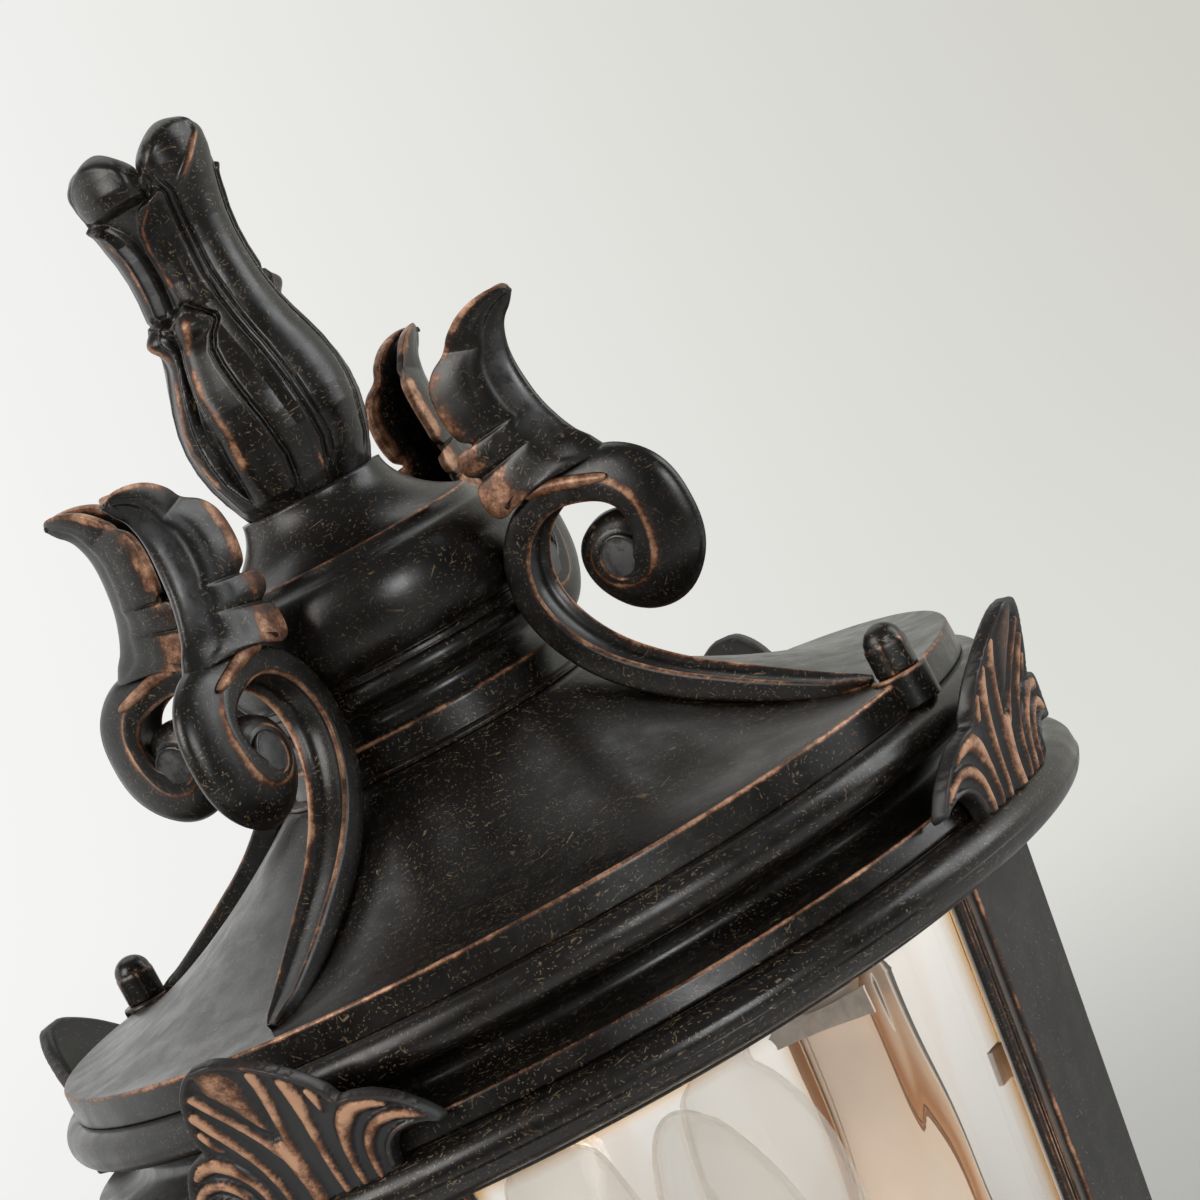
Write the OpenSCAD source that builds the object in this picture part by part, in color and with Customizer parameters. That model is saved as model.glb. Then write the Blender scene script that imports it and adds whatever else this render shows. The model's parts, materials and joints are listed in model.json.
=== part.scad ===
// Pedestal light: a round bronze lantern on a turned pedestal foot.
// Millimetres, +Z up, origin on the ground in the middle of the foot.
// The four posts stand on the diagonals of X and Y.

/* [Pedestal] */
// Diameter of the round foot
foot_d = 170; // [150:1:200]
// Height of the foot up to the stem
foot_h = 46; // [40:1:60]
// Thickness of the foot's screw flange
flange_t = 8; // [6:0.5:12]
// Wall of the hollow foot and bowl
cast_wall = 4; // [3:0.5:6]
// Diameter of the foot's neck
neck_d = 48; // [44:1:56]
// Height of the turned stem
stem_h = 56; // [50:1:70]
// Diameter of the stem's knop
knop_d = 56; // [50:1:64]
// Height of the bowl
bowl_h = 52; // [45:1:65]
// Diameter of the bowl's lower seat
bowl_seat_d = 42; // [40:1:50]
// Height of the lower ring
ring_h = 20; // [18:1:26]
// Distance of the foot's screw holes from its edge
foot_hole_in = 10; // [9:0.5:11]
// Diameter of the foot's screw holes
foot_hole_d = 6.5; // [4:0.5:8]
// Number of screw holes in the foot
foot_holes = 4; // [3:1:6]

/* [Cage] */
// Clear height between the lower ring and the cornice
cage_h = 211; // [190:1:240]
// Outer radius of the glass at the top
glass_top_r = 109; // [107:0.5:110]
// Outer radius of the glass at the bottom
glass_bottom_r = 77; // [74:0.5:84]
// Thickness of the glass
glass_t = 3; // [2:0.5:4]
// Width of a post at the top, narrowing with the cage
post_w = 34; // [30:1:36]
// Thickness of a post
post_t = 4.5; // [4:0.5:5]
// Width of the strip that covers a glass edge
strip_w = 4.5; // [4:0.5:5]
// Thickness of that strip
strip_t = 3; // [2:0.5:4]

/* [Cornice] */
// Height of the rounded bead at the top
bead_h = 10; // [8:0.5:12]
// How far the bead stands out beyond the roof
bead_out = 5; // [4:0.5:6]
// Height of the deep cove
cove_h = 10.2; // [9:0.2:12]
// How far the cove goes in behind the roof's edge
cove_in = 7.7; // [6:0.1:8]
// Height of the plain band under the cove
step_h = 5.3; // [4:0.1:7]
// How far that band stands out beyond the roof
step_out = 6; // [5:0.5:7]
// Height of the rim
rim_h = 12; // [11:0.5:14]
// How far the rim stands out beyond the roof
rim_out = 13.5; // [13:0.5:15]
// Wall of the cast cornice
cornice_wall = 3.5; // [3:0.5:4]

/* [Crests] */
// Height of a crest above its seat on the rim
crest_h = 42; // [38:1:46]
// Width of a crest across its hooks
crest_w = 74.4; // [70:0.4:78]
// How far the top of a crest leans out
crest_lean = 17.5; // [14:0.5:20]
// Thickness of a crest
crest_t = 3; // [2.5:0.5:4]
// How far the ribs stand proud of it
crest_rib = 1.8; // [1:0.2:2.4]

/* [Roof] */
// How far the roof's edge stands outside the top of the glass
roof_over = 7; // [6:0.5:9]
// Rise of the bell from its edge to the crown
roof_rise = 31; // [29:1:34]
// Height of the roof's vertical edge band
band_h = 7.5; // [6:0.5:10]
// Wall of the roof shell
roof_wall = 2.5; // [2:0.5:3]
// How steeply the bell rises near the crown
bell_power = 1.75; // [1.7:0.05:1.85]
// Turn of the roof's studs and scrolls away from the posts, in degrees
roof_turn = -2; // [-6:1:6]
// Distance of the roof studs from the roof's edge
stud_in = 1; // [0:0.5:2]
// Radius of the round ear that a stud passes through
ear_r = 7; // [7:0.5:8]

/* [Crown and finial] */
// Height of the crown
crown_h = 63.5; // [60:0.5:66]
// Largest diameter of the crown
crown_d = 80; // [78:1:80]
// Diameter of the crown's top, where the finial stands
crown_top_d = 36; // [34:1:40]
// Height of the finial
finial_h = 91; // [80:1:100]
// Largest diameter of the finial
finial_d = 47; // [42:1:52]
// Turn of its tall petals from the X axis, in degrees
finial_turn = -58.5; // [-90:0.5:90]
// Depth of the clefts between the four lobes at its top
top_cleft = 7.4; // [4:0.2:9]
// Depth of the grooves beside the tall petals
petal_groove = 1.4; // [0.8:0.1:2]
// How far the hollows between the short petals go in
petal_hollow = 3.3; // [2:0.1:4]
// How far the tips of the curled leaves stand out
leaf_curl = 2.4; // [1:0.2:3.2]

/* [Scrolls] */
// Half width of a scroll across its band
scroll_half_w = 5.75; // [4.5:0.25:6.5]
// Depth of the trough along its inner side
trough = 1.6; // [1:0.2:2]
// How far the back of the volute swells
volute_swell = 6; // [4:0.5:6.5]
// Gap between a scroll and the roof it lies on
scroll_gap = 0.2; // [0.1:0.05:0.4]

/* [Lamps] */
// Distance of the lamps from the middle
lamp_circle_r = 27; // [25:1:30]
// Length of a candle sleeve
sleeve_h = 102; // [90:1:110]
// Outer diameter of a candle sleeve
sleeve_d = 21; // [20.5:0.5:23]
// Wall of a candle sleeve
sleeve_t = 0.9; // [0.7:0.1:1.2]
// Outer diameter of a lamp socket
socket_d = 17; // [16:0.5:18]
// Diameter of the lamp's screw base
cap_d = 12; // [11:0.5:14]
// Length of that screw base
cap_h = 19; // [16:1:22]
// Largest diameter of the bulb
bulb_d = 35; // [30:1:37]
// Height of the bulb above its socket
bulb_h = 80; // [70:1:90]

/* [Fasteners] */
// Outer diameter of the lamp pipe
pipe_d = 10; // [9:0.5:10]
// Bore of the lamp pipe
pipe_bore_d = 7; // [6:0.5:7.5]
// Diameter of the roof studs
stud_d = 6; // [5:0.5:6]
// Width across the flats of a cap nut
cap_nut_af = 10; // [10:0.5:11]
// Height of a cap nut with its dome
cap_nut_h = 11.5; // [11:0.5:13]
// Diameter of the finial rod
rod_d = 8; // [6:0.5:8]
// Width across the flats of the hex nuts
hex_af = 15; // [14:0.5:16]
// Thickness of the hex nuts
hex_t = 5; // [4:0.5:6]
// Diameter of the small screws
screw_d = 2.6; // [2:0.2:2.8]
// Length of their shanks inside the posts and the ring
screw_grip = 6; // [5:0.5:6]

/* [Clearances] */
// Radial clearance of a shaft in its bore
run_gap = 0.05; // [0.03:0.01:0.1]
// Gap between pieces that only lie beside each other
seat_gap = 0.3; // [0.2:0.05:0.4]
// Radial clearance of a hole that something passes through
pass_gap = 0.4; // [0.2:0.1:0.6]

/* [Hidden] */
POSTS = [1:4];
SCROLLS = [1:4];
LAMPS = [1:3];
CAP_NUTS = [1:2];
$fn = 96;

// Colours
bronze = [0.16, 0.14, 0.13];
worn_bronze = [0.24, 0.19, 0.16];
champagne = [0.93, 0.88, 0.78, 0.45];
ivory = [0.92, 0.88, 0.78];
steel = [0.62, 0.62, 0.62];

// Heights of the seats, from the ground up
stem_z = foot_h;
bowl_z = stem_z + stem_h;
ring_z = bowl_z + bowl_h;
cage_z = ring_z + ring_h;
cornice_z = cage_z + cage_h;
cornice_h = bead_h + cove_h + step_h + rim_h;
cornice_top_z = cornice_z + cornice_h;
edge_z = cornice_top_z + band_h;
crown_z = edge_z + roof_rise;
finial_z = crown_z + crown_h;

// Radii
roof_r = glass_top_r + roof_over;
stud_circle_r = roof_r - stud_in;
crown_r = crown_d / 2;
crown_seat_r = crown_r;
cove_r = roof_r - cove_in;
step_r = roof_r + step_out;
rim_r = roof_r + rim_out;
rim_half = 6.5;
step_z = cornice_z + rim_h;
cove_z = step_z + step_h;
bead_z = cove_z + cove_h;
ring_r = glass_bottom_r + 14;
bowl_r = glass_bottom_r + 9;
pipe_hole_r = pipe_d / 2 + pass_gap;
nut_hole_r = pipe_d / 2 + run_gap;
flange_in_r = foot_d / 2 - 19;
foot_bolt_circle_r = foot_d / 2 - foot_hole_in;
cage_slope = (glass_top_r - glass_bottom_r) / cage_h;
cage_lean = atan(cage_slope);
post_azimuth = 45;

// Lamp heights
plate_t = 3;
plate_z = cage_z + 4;
plate_r = lamp_circle_r + 17;
sleeve_z = plate_z + plate_t;
socket_top_z = sleeve_z + sleeve_h - 2;
pipe_bottom_z = foot_h - cast_wall - hex_t - 6;
pipe_top_z = plate_z + plate_t + hex_t + 5;

// Turned outlines

function ease(t) = (1 - cos(180 * t)) / 2;

function arc(cx, cz, rx, rz, a0, a1, n) =
    [for (i = [0:n]) let (a = a0 + (a1 - a0) * i / n) [cx + rx * cos(a), cz + rz * sin(a)]];

// An S curve from [r0, z0] to [r1, z1] that starts and ends upright
function ogee(r0, z0, r1, z1, n) =
    [for (i = [0:n]) let (t = i / n) [r0 + (r1 - r0) * ease(t), z0 + (z1 - z0) * t]];

// Height of the roof's outer surface above its edge
function bell(r) = roof_rise * pow(max(0, roof_r - r) / (roof_r - crown_seat_r), bell_power);

// Smooth curve through points of any dimension
function knot(p, i) = p[min(max(i, 0), len(p) - 1)];
function blend_at(a, b, c, d, t) =
    (2 * b + (c - a) * t + (2 * a - 5 * b + 4 * c - d) * t * t + (3 * b - a - 3 * c + d) * t * t * t) / 2;
function smooth(p, n) = concat(
    [for (i = [0:len(p) - 2]) for (j = [0:n - 1])
        blend_at(knot(p, i - 1), p[i], p[i + 1], knot(p, i + 2), j / n)],
    [p[len(p) - 1]]
);

module turned(outline) {
    rotate_extrude() polygon(outline);
}

module hex_nut(af, h, bore_r) {
    difference() {
        intersection() {
            cylinder(r = af / sqrt(3), h = h, $fn = 6);
            turned([[0, 0], [af * 0.51, 0], [af * 0.6, h * 0.2], [af * 0.6, h * 0.8],
                    [af * 0.51, h], [0, h]]);
        }
        translate([0, 0, -1]) cylinder(r = bore_r, h = h + 2);
    }
}

module small_screw(shank) {
    cylinder(d = screw_d, h = shank);
    translate([0, 0, -screw_d * 0.6]) cylinder(d = screw_d * 2, h = screw_d * 0.6);
}

// Pedestal

foot_edge = 2.5;

module pedestal_foot() {
    r = foot_d / 2;
    shoulder_r = flange_in_r;
    inner_top_z = foot_h - cast_wall;
    color(bronze) difference() {
        turned(concat(
            [[0, 0], [r - foot_edge, 0]],
            arc(r - foot_edge, foot_edge, foot_edge, foot_edge, -90, 0, 6),
            arc(r - foot_edge, flange_t - foot_edge, foot_edge, foot_edge, 0, 90, 6),
            [[shoulder_r + 1.5, flange_t], [shoulder_r, flange_t + 1.5]],
            ogee(shoulder_r, flange_t + 3, neck_d / 2, foot_h - 3, 18),
            [[neck_d / 2 + 1.5, foot_h - 2.5], [neck_d / 2 + 1.5, foot_h], [0, foot_h]]
        ));
        turned(concat(
            [[0, -1], [shoulder_r - cast_wall, -1], [shoulder_r - cast_wall, flange_t]],
            ogee(shoulder_r - cast_wall, flange_t + 1, neck_d / 2 - cast_wall, inner_top_z - 3, 18),
            [[neck_d / 2 - cast_wall, inner_top_z], [0, inner_top_z]]
        ));
        translate([0, 0, inner_top_z - 1]) cylinder(r = pipe_hole_r, h = cast_wall + 2);
        for (i = [0:foot_holes - 1])
            rotate(45 + 360 / foot_holes * i)
                translate([foot_bolt_circle_r, 0, -1])
                    cylinder(d = foot_hole_d, h = flange_t + 2);
    }
}

module pedestal_stem() {
    knop_r = knop_d / 2;
    knop_z = stem_h * 0.46;
    knop_half = 9;
    foot_r = neck_d / 2 - 1;
    waist_r = 15;
    top_r = bowl_seat_d / 2;
    color(bronze) translate([0, 0, stem_z]) difference() {
        turned(concat(
            [[0, 0], [foot_r, 0]],
            arc(foot_r - 2, 3, 3, 3, -60, 90, 8),
            ogee(foot_r - 3, 7, waist_r, knop_z - knop_half - 1.5, 8),
            [[waist_r + 3, knop_z - knop_half - 1.5], [waist_r + 3, knop_z - knop_half]],
            arc(knop_r - 10, knop_z, 10, knop_half, -80, 80, 16),
            [[waist_r + 3, knop_z + knop_half], [waist_r + 3, knop_z + knop_half + 1.5]],
            ogee(waist_r, knop_z + knop_half + 1.5, top_r - 3, stem_h - 6, 8),
            arc(top_r - 3, stem_h - 3, 3, 3, -90, 80, 8),
            [[top_r - 3, stem_h], [0, stem_h]]
        ));
        translate([0, 0, -1]) cylinder(r = pipe_hole_r, h = stem_h + 2);
    }
}

module lower_bowl() {
    seat_r = bowl_seat_d / 2;
    top_z = ring_z;
    lip_h = 4;
    color(bronze) difference() {
        turned(concat(
            [[0, bowl_z], [seat_r, bowl_z]],
            ogee(seat_r, bowl_z + 2, bowl_r, top_z - lip_h - 2, 22),
            [[bowl_r + 2, top_z - lip_h], [bowl_r + 2, top_z], [0, top_z]]
        ));
        turned(concat(
            [[0, bowl_z + cast_wall], [seat_r - cast_wall, bowl_z + cast_wall]],
            ogee(seat_r - cast_wall, bowl_z + cast_wall + 2, bowl_r - cast_wall, top_z - lip_h - 2, 22),
            [[bowl_r - cast_wall, top_z - cast_wall], [bowl_r - 16, top_z - cast_wall],
             [bowl_r - 16, top_z + 1], [0, top_z + 1]]
        ));
        translate([0, 0, bowl_z - 1]) cylinder(r = pipe_hole_r, h = cast_wall + 2);
        ring_screw_places() cylinder(d = screw_d + 2 * pass_gap, h = 40, center = true);
    }
}

// Lower ring: an upright inner lip keeps the glass in, and the posts stand outside it
lip_r = glass_bottom_r - glass_t - seat_gap;
lip_up = 3;

module lower_ring() {
    r = ring_r;
    bore_r = bowl_r - 16;
    color(bronze) difference() {
        turned(concat(
            [[bore_r, ring_z], [bowl_r + 1, ring_z]],
            arc(r - 6, ring_z + 6, 6, 6, -90, 90, 14),
            [[r - 5, ring_z + 12], [r - 4.5, ring_z + 12.5]],
            arc(r - 4.5, ring_z + 12.5 + (ring_h - 15) / 2, 3, (ring_h - 15) / 2, 270, 90, 8),
            [[r - 4, ring_z + ring_h - 2], [r - 4, ring_z + ring_h - 0.6], [r - 4.6, ring_z + ring_h],
             [lip_r, ring_z + ring_h], [lip_r, ring_z + ring_h + lip_up],
             [lip_r - 2, ring_z + ring_h + lip_up], [bore_r, ring_z + ring_h - 2]]
        ));
        ring_screw_places() cylinder(d = screw_d + 2 * run_gap, h = screw_grip + seat_gap);
        post_screw_places(cage_z, -1)
            translate([0, 0, -ring_h - 1]) cylinder(d = screw_d + 2 * pass_gap, h = ring_h + 2);
        post_screw_places(cage_z, -1)
            translate([0, 0, -ring_h - 1]) cylinder(d = screw_d * 2 + 1, h = ring_h - 3);
    }
}

// Four screws hold the ring down on the bowl, between the posts
module ring_screw_places() {
    for (i = [0:3])
        rotate(90 * i) translate([bowl_r - 10, 0, ring_z]) children();
}

module ring_screws() {
    color(steel) ring_screw_places()
        translate([0, 0, -cast_wall]) small_screw(cast_wall + screw_grip);
}

// Each post has one screw from below and one from above, side is -1 or 1
module post_screw_places(z, side) {
    r = post_mid_r(z) + side * cage_slope * screw_grip * -0.5;
    for (i = POSTS)
        rotate(post_azimuth + 90 * (i - 1)) translate([r, 0, z]) children();
}

module post_screws() {
    color(steel) {
        post_screw_places(cage_z, -1)
            translate([0, 0, -4]) small_screw(4 + screw_grip);
        post_screw_places(cornice_z, 1)
            translate([0, 0, cornice_wall]) mirror([0, 0, 1]) small_screw(cornice_wall + screw_grip);
    }
}

// Cage

// Glass outer radius, and the radius of a post's mid plane, at a height
function glass_r(z) = glass_bottom_r + (z - cage_z) * cage_slope;
function post_mid_r(z) = glass_r(z) + post_t / 2 / cos(cage_lean);

// A flat bar that leans with the glass, between the ring and the cornice.
// in_off is its inner face's distance outside the glass. u0 and u1 are its sides at the top.
// With w_const its width stays the same all the way down, or else it narrows with the cage.
module leaning_bar(u0, u1, w_const, in_off, t) {
    k = glass_bottom_r / glass_top_r;
    length = cage_h / cos(cage_lean);
    extra = 20;
    cut_w = post_w * 4;
    // sides at the bottom and the top of the bar, carried on past both ends
    b0 = u0 * k;
    b1 = w_const ? b0 + u1 - u0 : u1 * k;
    d0 = (u0 - b0) / length;
    d1 = (u1 - b1) / length;
    intersection() {
        translate([glass_bottom_r + in_off / cos(cage_lean), 0, cage_z])
            rotate([0, cage_lean, 0])
                rotate([90, 0, 90])
                    linear_extrude(t)
                        polygon([[b0 - d0 * extra, -extra], [b1 - d1 * extra, -extra],
                                 [u1 + d1 * extra, length + extra], [u0 + d0 * extra, length + extra]]);
        translate([0, -cut_w / 2, cage_z]) cube([2 * roof_r, cut_w, cage_h]);
    }
}

module post(i) {
    color(bronze) rotate(post_azimuth + 90 * (i - 1)) difference() {
        leaning_bar(-post_w / 2, post_w / 2, false, 0, post_t);
        rotate(-post_azimuth - 90 * (i - 1)) {
            post_screw_places(cage_z, -1)
                translate([0, 0, -1]) cylinder(d = screw_d + 2 * run_gap, h = screw_grip + 1 + seat_gap);
            post_screw_places(cornice_z, 1)
                translate([0, 0, -screw_grip - seat_gap])
                    cylinder(d = screw_d + 2 * run_gap, h = screw_grip + 1 + seat_gap);
        }
    }
}

strip_off = -0.6;

module glass_strips() {
    color(worn_bronze)
        for (i = POSTS) rotate(post_azimuth + 90 * (i - 1))
            for (side = [0, 1]) mirror([0, side, 0])
                leaning_bar(post_w / 2, post_w / 2 + strip_w, true, strip_off, strip_t);
}

// A glass panel runs from under one post's strip to the next
glass_under = 0.6;

module glass_panel(i) {
    edge = atan((post_w / 2 + glass_under) / (glass_top_r - 2));
    span = 90 - 2 * edge;
    z0 = cage_z;
    z1 = cornice_z - 0.5;
    color(champagne) rotate(post_azimuth + 90 * (i - 1) + edge)
        rotate_extrude(angle = span)
            polygon([[glass_r(z0) - glass_t, z0], [glass_r(z0), z0],
                     [glass_r(z1), z1], [glass_r(z1) - glass_t, z1]]);
}

// A clip is a block on the post's inner face with a bar that reaches behind both glass edges
clip_h = 8;
clip_depth = 5.3;
clip_bar_t = 1.2;

module glass_clips() {
    color(steel)
        for (i = POSTS) rotate(post_azimuth + 90 * (i - 1))
            for (f = [0.2, 0.8]) {
                z = cage_z + cage_h * f;
                r = glass_r(z);
                reach = 0.19 * r;
                block = 0.1 * r;
                translate([r, 0, z]) rotate([0, cage_lean, 0]) rotate([0, 0, 90])
                    linear_extrude(clip_h, center = true)
                        polygon([[-block, 0], [-block, clip_depth], [-reach, clip_depth],
                                 [-reach, clip_depth + clip_bar_t], [reach, clip_depth + clip_bar_t],
                                 [reach, clip_depth], [block, clip_depth], [block, 0]]);
            }
}

// Cornice

module cornice_ring() {
    w = cornice_wall;
    in_r = glass_top_r - 9;
    skirt_r = roof_r + 1;
    cove_mid = cove_z + cove_h / 2;
    bead_mid = bead_z + bead_h / 2;
    color(bronze) difference() {
        turned(concat(
            [[cove_r - w, cornice_top_z - w], [cove_r - w, cornice_top_z]],
            arc(roof_r + 1, bead_mid, bead_out - 1, bead_h / 2, 90, -90, 14),
            arc(roof_r + 1, cove_mid + 0.4, cove_in + 1, cove_h / 2 - 0.4, 90, 270, 16),
            [[step_r - 0.4, cove_z], [step_r, cove_z - 0.4], [step_r + 0.3, step_z + 0.5],
             [step_r - 0.6, step_z]],
            arc(rim_r - rim_half, cornice_z + rim_h / 2, rim_half, rim_h / 2, 88, -90, 18),
            [[skirt_r + 1.5, cornice_z], [skirt_r + 1.5, cornice_z - 2], [skirt_r, cornice_z - 2],
             [skirt_r, cornice_z], [in_r, cornice_z], [in_r, cornice_z + w],
             [rim_r - rim_half - w, cornice_z + w], [step_r - w, step_z + w],
             [cove_r - w, cove_mid - w / 2], [cove_r - w, cove_mid + w / 2],
             [roof_r + 1 - w / 2, bead_z + w], [roof_r + 1 - w / 2, cornice_top_z - w]]
        ));
        stud_places() translate([0, 0, cornice_top_z - cornice_wall + 0.5])
            cylinder(d = stud_d + 2 * run_gap, h = cornice_wall + 1);
        post_screw_places(cornice_z, 1)
            translate([0, 0, -1]) cylinder(d = screw_d + 2 * pass_gap, h = cornice_wall + 2);
    }
}

// Two studs hold the roof, on opposite sides
module stud_places() {
    for (i = CAP_NUTS) stud_place(i) children();
}

module stud_place(i) {
    rotate(post_azimuth + roof_turn + 90 + 180 * (i - 1)) translate([stud_circle_r, 0, 0]) children();
}

// An ear stands a little proud of the bell all round its stud
ear_proud = 1.2;
ear_top_z = edge_z + ear_proud;

module roof_studs() {
    color(steel) stud_places()
        translate([0, 0, cornice_top_z - cornice_wall + 0.5])
            cylinder(d = stud_d, h = ear_top_z + cap_nut_h * 0.65 - cornice_top_z + cornice_wall - 0.5);
}

module cap_nut(i) {
    dome_r = cap_nut_af / 2 - 0.1;
    hex_h = cap_nut_h - dome_r;
    color(bronze) stud_place(i) translate([0, 0, ear_top_z]) difference() {
        union() {
            intersection() {
                cylinder(r = cap_nut_af / sqrt(3), h = hex_h + 1.5, $fn = 6);
                turned([[0, 0], [cap_nut_af * 0.52, 0], [cap_nut_af * 0.6, 1], [cap_nut_af * 0.6, hex_h],
                        [dome_r, hex_h + 1.5], [0, hex_h + 1.5]]);
            }
            translate([0, 0, hex_h]) intersection() {
                sphere(r = dome_r);
                cylinder(r = cap_nut_af, h = cap_nut_af);
            }
        }
        translate([0, 0, -1]) cylinder(d = stud_d + 2 * run_gap, h = cap_nut_h * 0.75 + 1);
    }
}

// Crests

// How far out a crest's back stands at a height above its seat
crest_seat_z = step_z - 3;
crest_back_r = step_r + 1;
function crest_out(h) = crest_back_r + crest_lean * pow(max(0, h) / crest_h, 1.8);

module crest_shell(t0, t1) {
    n = 10;
    rotate([0, 0, -25]) rotate_extrude(angle = 50)
        polygon(concat(
            [for (i = [0:n]) let (h = (crest_h + 4) * i / n) [crest_out(h) + t1, crest_seat_z + h]],
            [for (i = [n:-1:0]) let (h = (crest_h + 4) * i / n) [crest_out(h) + t0, crest_seat_z + h]]
        ));
}

// Half of the palmette's outline: across and up from the middle of its base.
// The hooked volute reaches out over the plain band, with a notch under it.
// It is drawn this wide and high, and scaled to the crest's own width and height.
drawn_w = 74.4;
drawn_h = 42.6;
palmette_half = [
    [20, 0], [20.3, 4], [21.5, 7.5], [24.5, 10], [29, 10.8], [33, 10.4], [36.5, 9.8], [37.2, 11.3],
    [34.5, 15], [30, 19], [25, 21.8], [20.5, 22.6], [18.2, 22.4],
    [18.4, 25], [17.2, 27.6], [15.6, 28.8], [15.4, 31.5], [13.2, 34], [11.6, 34.8],
    [10.6, 37.5], [8, 39.3], [6.4, 39.5], [4.6, 41.5], [2, 42.6]
];

module palmette(scale_u, scale_v) {
    half = [for (p = palmette_half) [p[0] * scale_u, p[1] * scale_v]];
    polygon(concat(half, [for (i = [len(half) - 1:-1:0]) [-half[i][0], half[i][1]]]));
}

// A straight rib with a round top
module rib(u0, v0, u1, v1, w0, w1) {
    a = atan2(v1 - v0, u1 - u0);
    len = norm([u1 - u0, v1 - v0]);
    translate([u0, v0]) rotate(a) {
        polygon([[0, -w0], [len, -w1], [len, w1], [0, w0]]);
        translate([len, 0]) circle(r = w1, $fn = 24);
    }
}

module hook_rib(cu, cv, r, w, a0, a1) {
    n = 10;
    polygon(concat(arc(cu, cv, r + w, r + w, a0, a1, n), arc(cu, cv, r - w, r - w, a1, a0, n)));
}

module palmette_ribs() {
    rib(0, 0, 0, 38, 1.1, 2.8);
    for (side = [0, 1]) mirror([side, 0]) {
        rib(3.4, 0, 6.7, 35, 0.9, 1.3);
        rib(6.8, 0, 12.3, 29.5, 0.9, 1.4);
        rib(10.2, 0, 15.8, 23.5, 0.9, 1.4);
        rib(13.6, 0, 14.6, 6.5, 0.8, 0.8);
        hook_rib(24.6, 6.5, 10, 0.8, 180, 62);
        rib(17.4, 0, 18, 5, 0.8, 0.8);
        hook_rib(25.5, 5, 7.5, 0.8, 180, 60);
    }
}

// Lays a flat drawing upright at the front of a crest and gives it depth outward
module stand_up() {
    translate([crest_back_r - 20, 0, crest_seat_z]) rotate([90, 0, 90])
        linear_extrude(crest_lean + 60) children();
}

module crest(i) {
    u_scale = crest_w / drawn_w;
    v_scale = crest_h / drawn_h;
    color(worn_bronze) rotate(post_azimuth + 90 * (i - 1)) difference() {
        union() {
            intersection() {
                stand_up() palmette(u_scale, v_scale);
                crest_shell(0, crest_t);
            }
            intersection() {
                stand_up() scale([u_scale, v_scale]) palmette_ribs();
                crest_shell(crest_t / 2, crest_t + crest_rib);
            }
        }
        // the seat follows the rim's rounded top
        turned(concat([[cove_r, cornice_z], [cove_r, step_z + seat_gap]],
            arc(rim_r - rim_half, cornice_z + rim_h / 2, rim_half + seat_gap, rim_h / 2 + seat_gap,
                90, -90, 18)));
    }
}

// Roof

module roof() {
    n = 16;
    w = roof_wall;
    top_r = crown_seat_r;
    inner_r = roof_r - w;
    plate_r = top_r - 2;
    color(bronze) difference() {
        union() {
            turned(concat(
                [[0, crown_z]],
                [for (i = [0:n]) let (r = top_r + (roof_r - 0.5 - top_r) * i / n) [r, edge_z + bell(r)]],
                [[roof_r, edge_z - 0.5], [roof_r, cornice_top_z], [inner_r, cornice_top_z]],
                [for (i = [n:-1:0]) let (r = plate_r + (inner_r - plate_r) * i / n)
                    [r, edge_z + bell(r) - w - 0.5]],
                [[plate_r - 2, crown_z - w - 0.5], [0, crown_z - w - 0.5]]
            ));
            for (i = CAP_NUTS) stud_place(i)
                translate([0, 0, cornice_top_z]) cylinder(r = ear_r, h = ear_top_z - cornice_top_z);
        }
        translate([0, 0, crown_z - 10]) cylinder(r = rod_d / 2 + pass_gap, h = 20);
        stud_places() translate([0, 0, cornice_top_z - 1]) cylinder(r = stud_d / 2 + pass_gap, h = 20);
    }
}

// Crown

crown_wall = 3;
rod_seat_h = 12;

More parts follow.
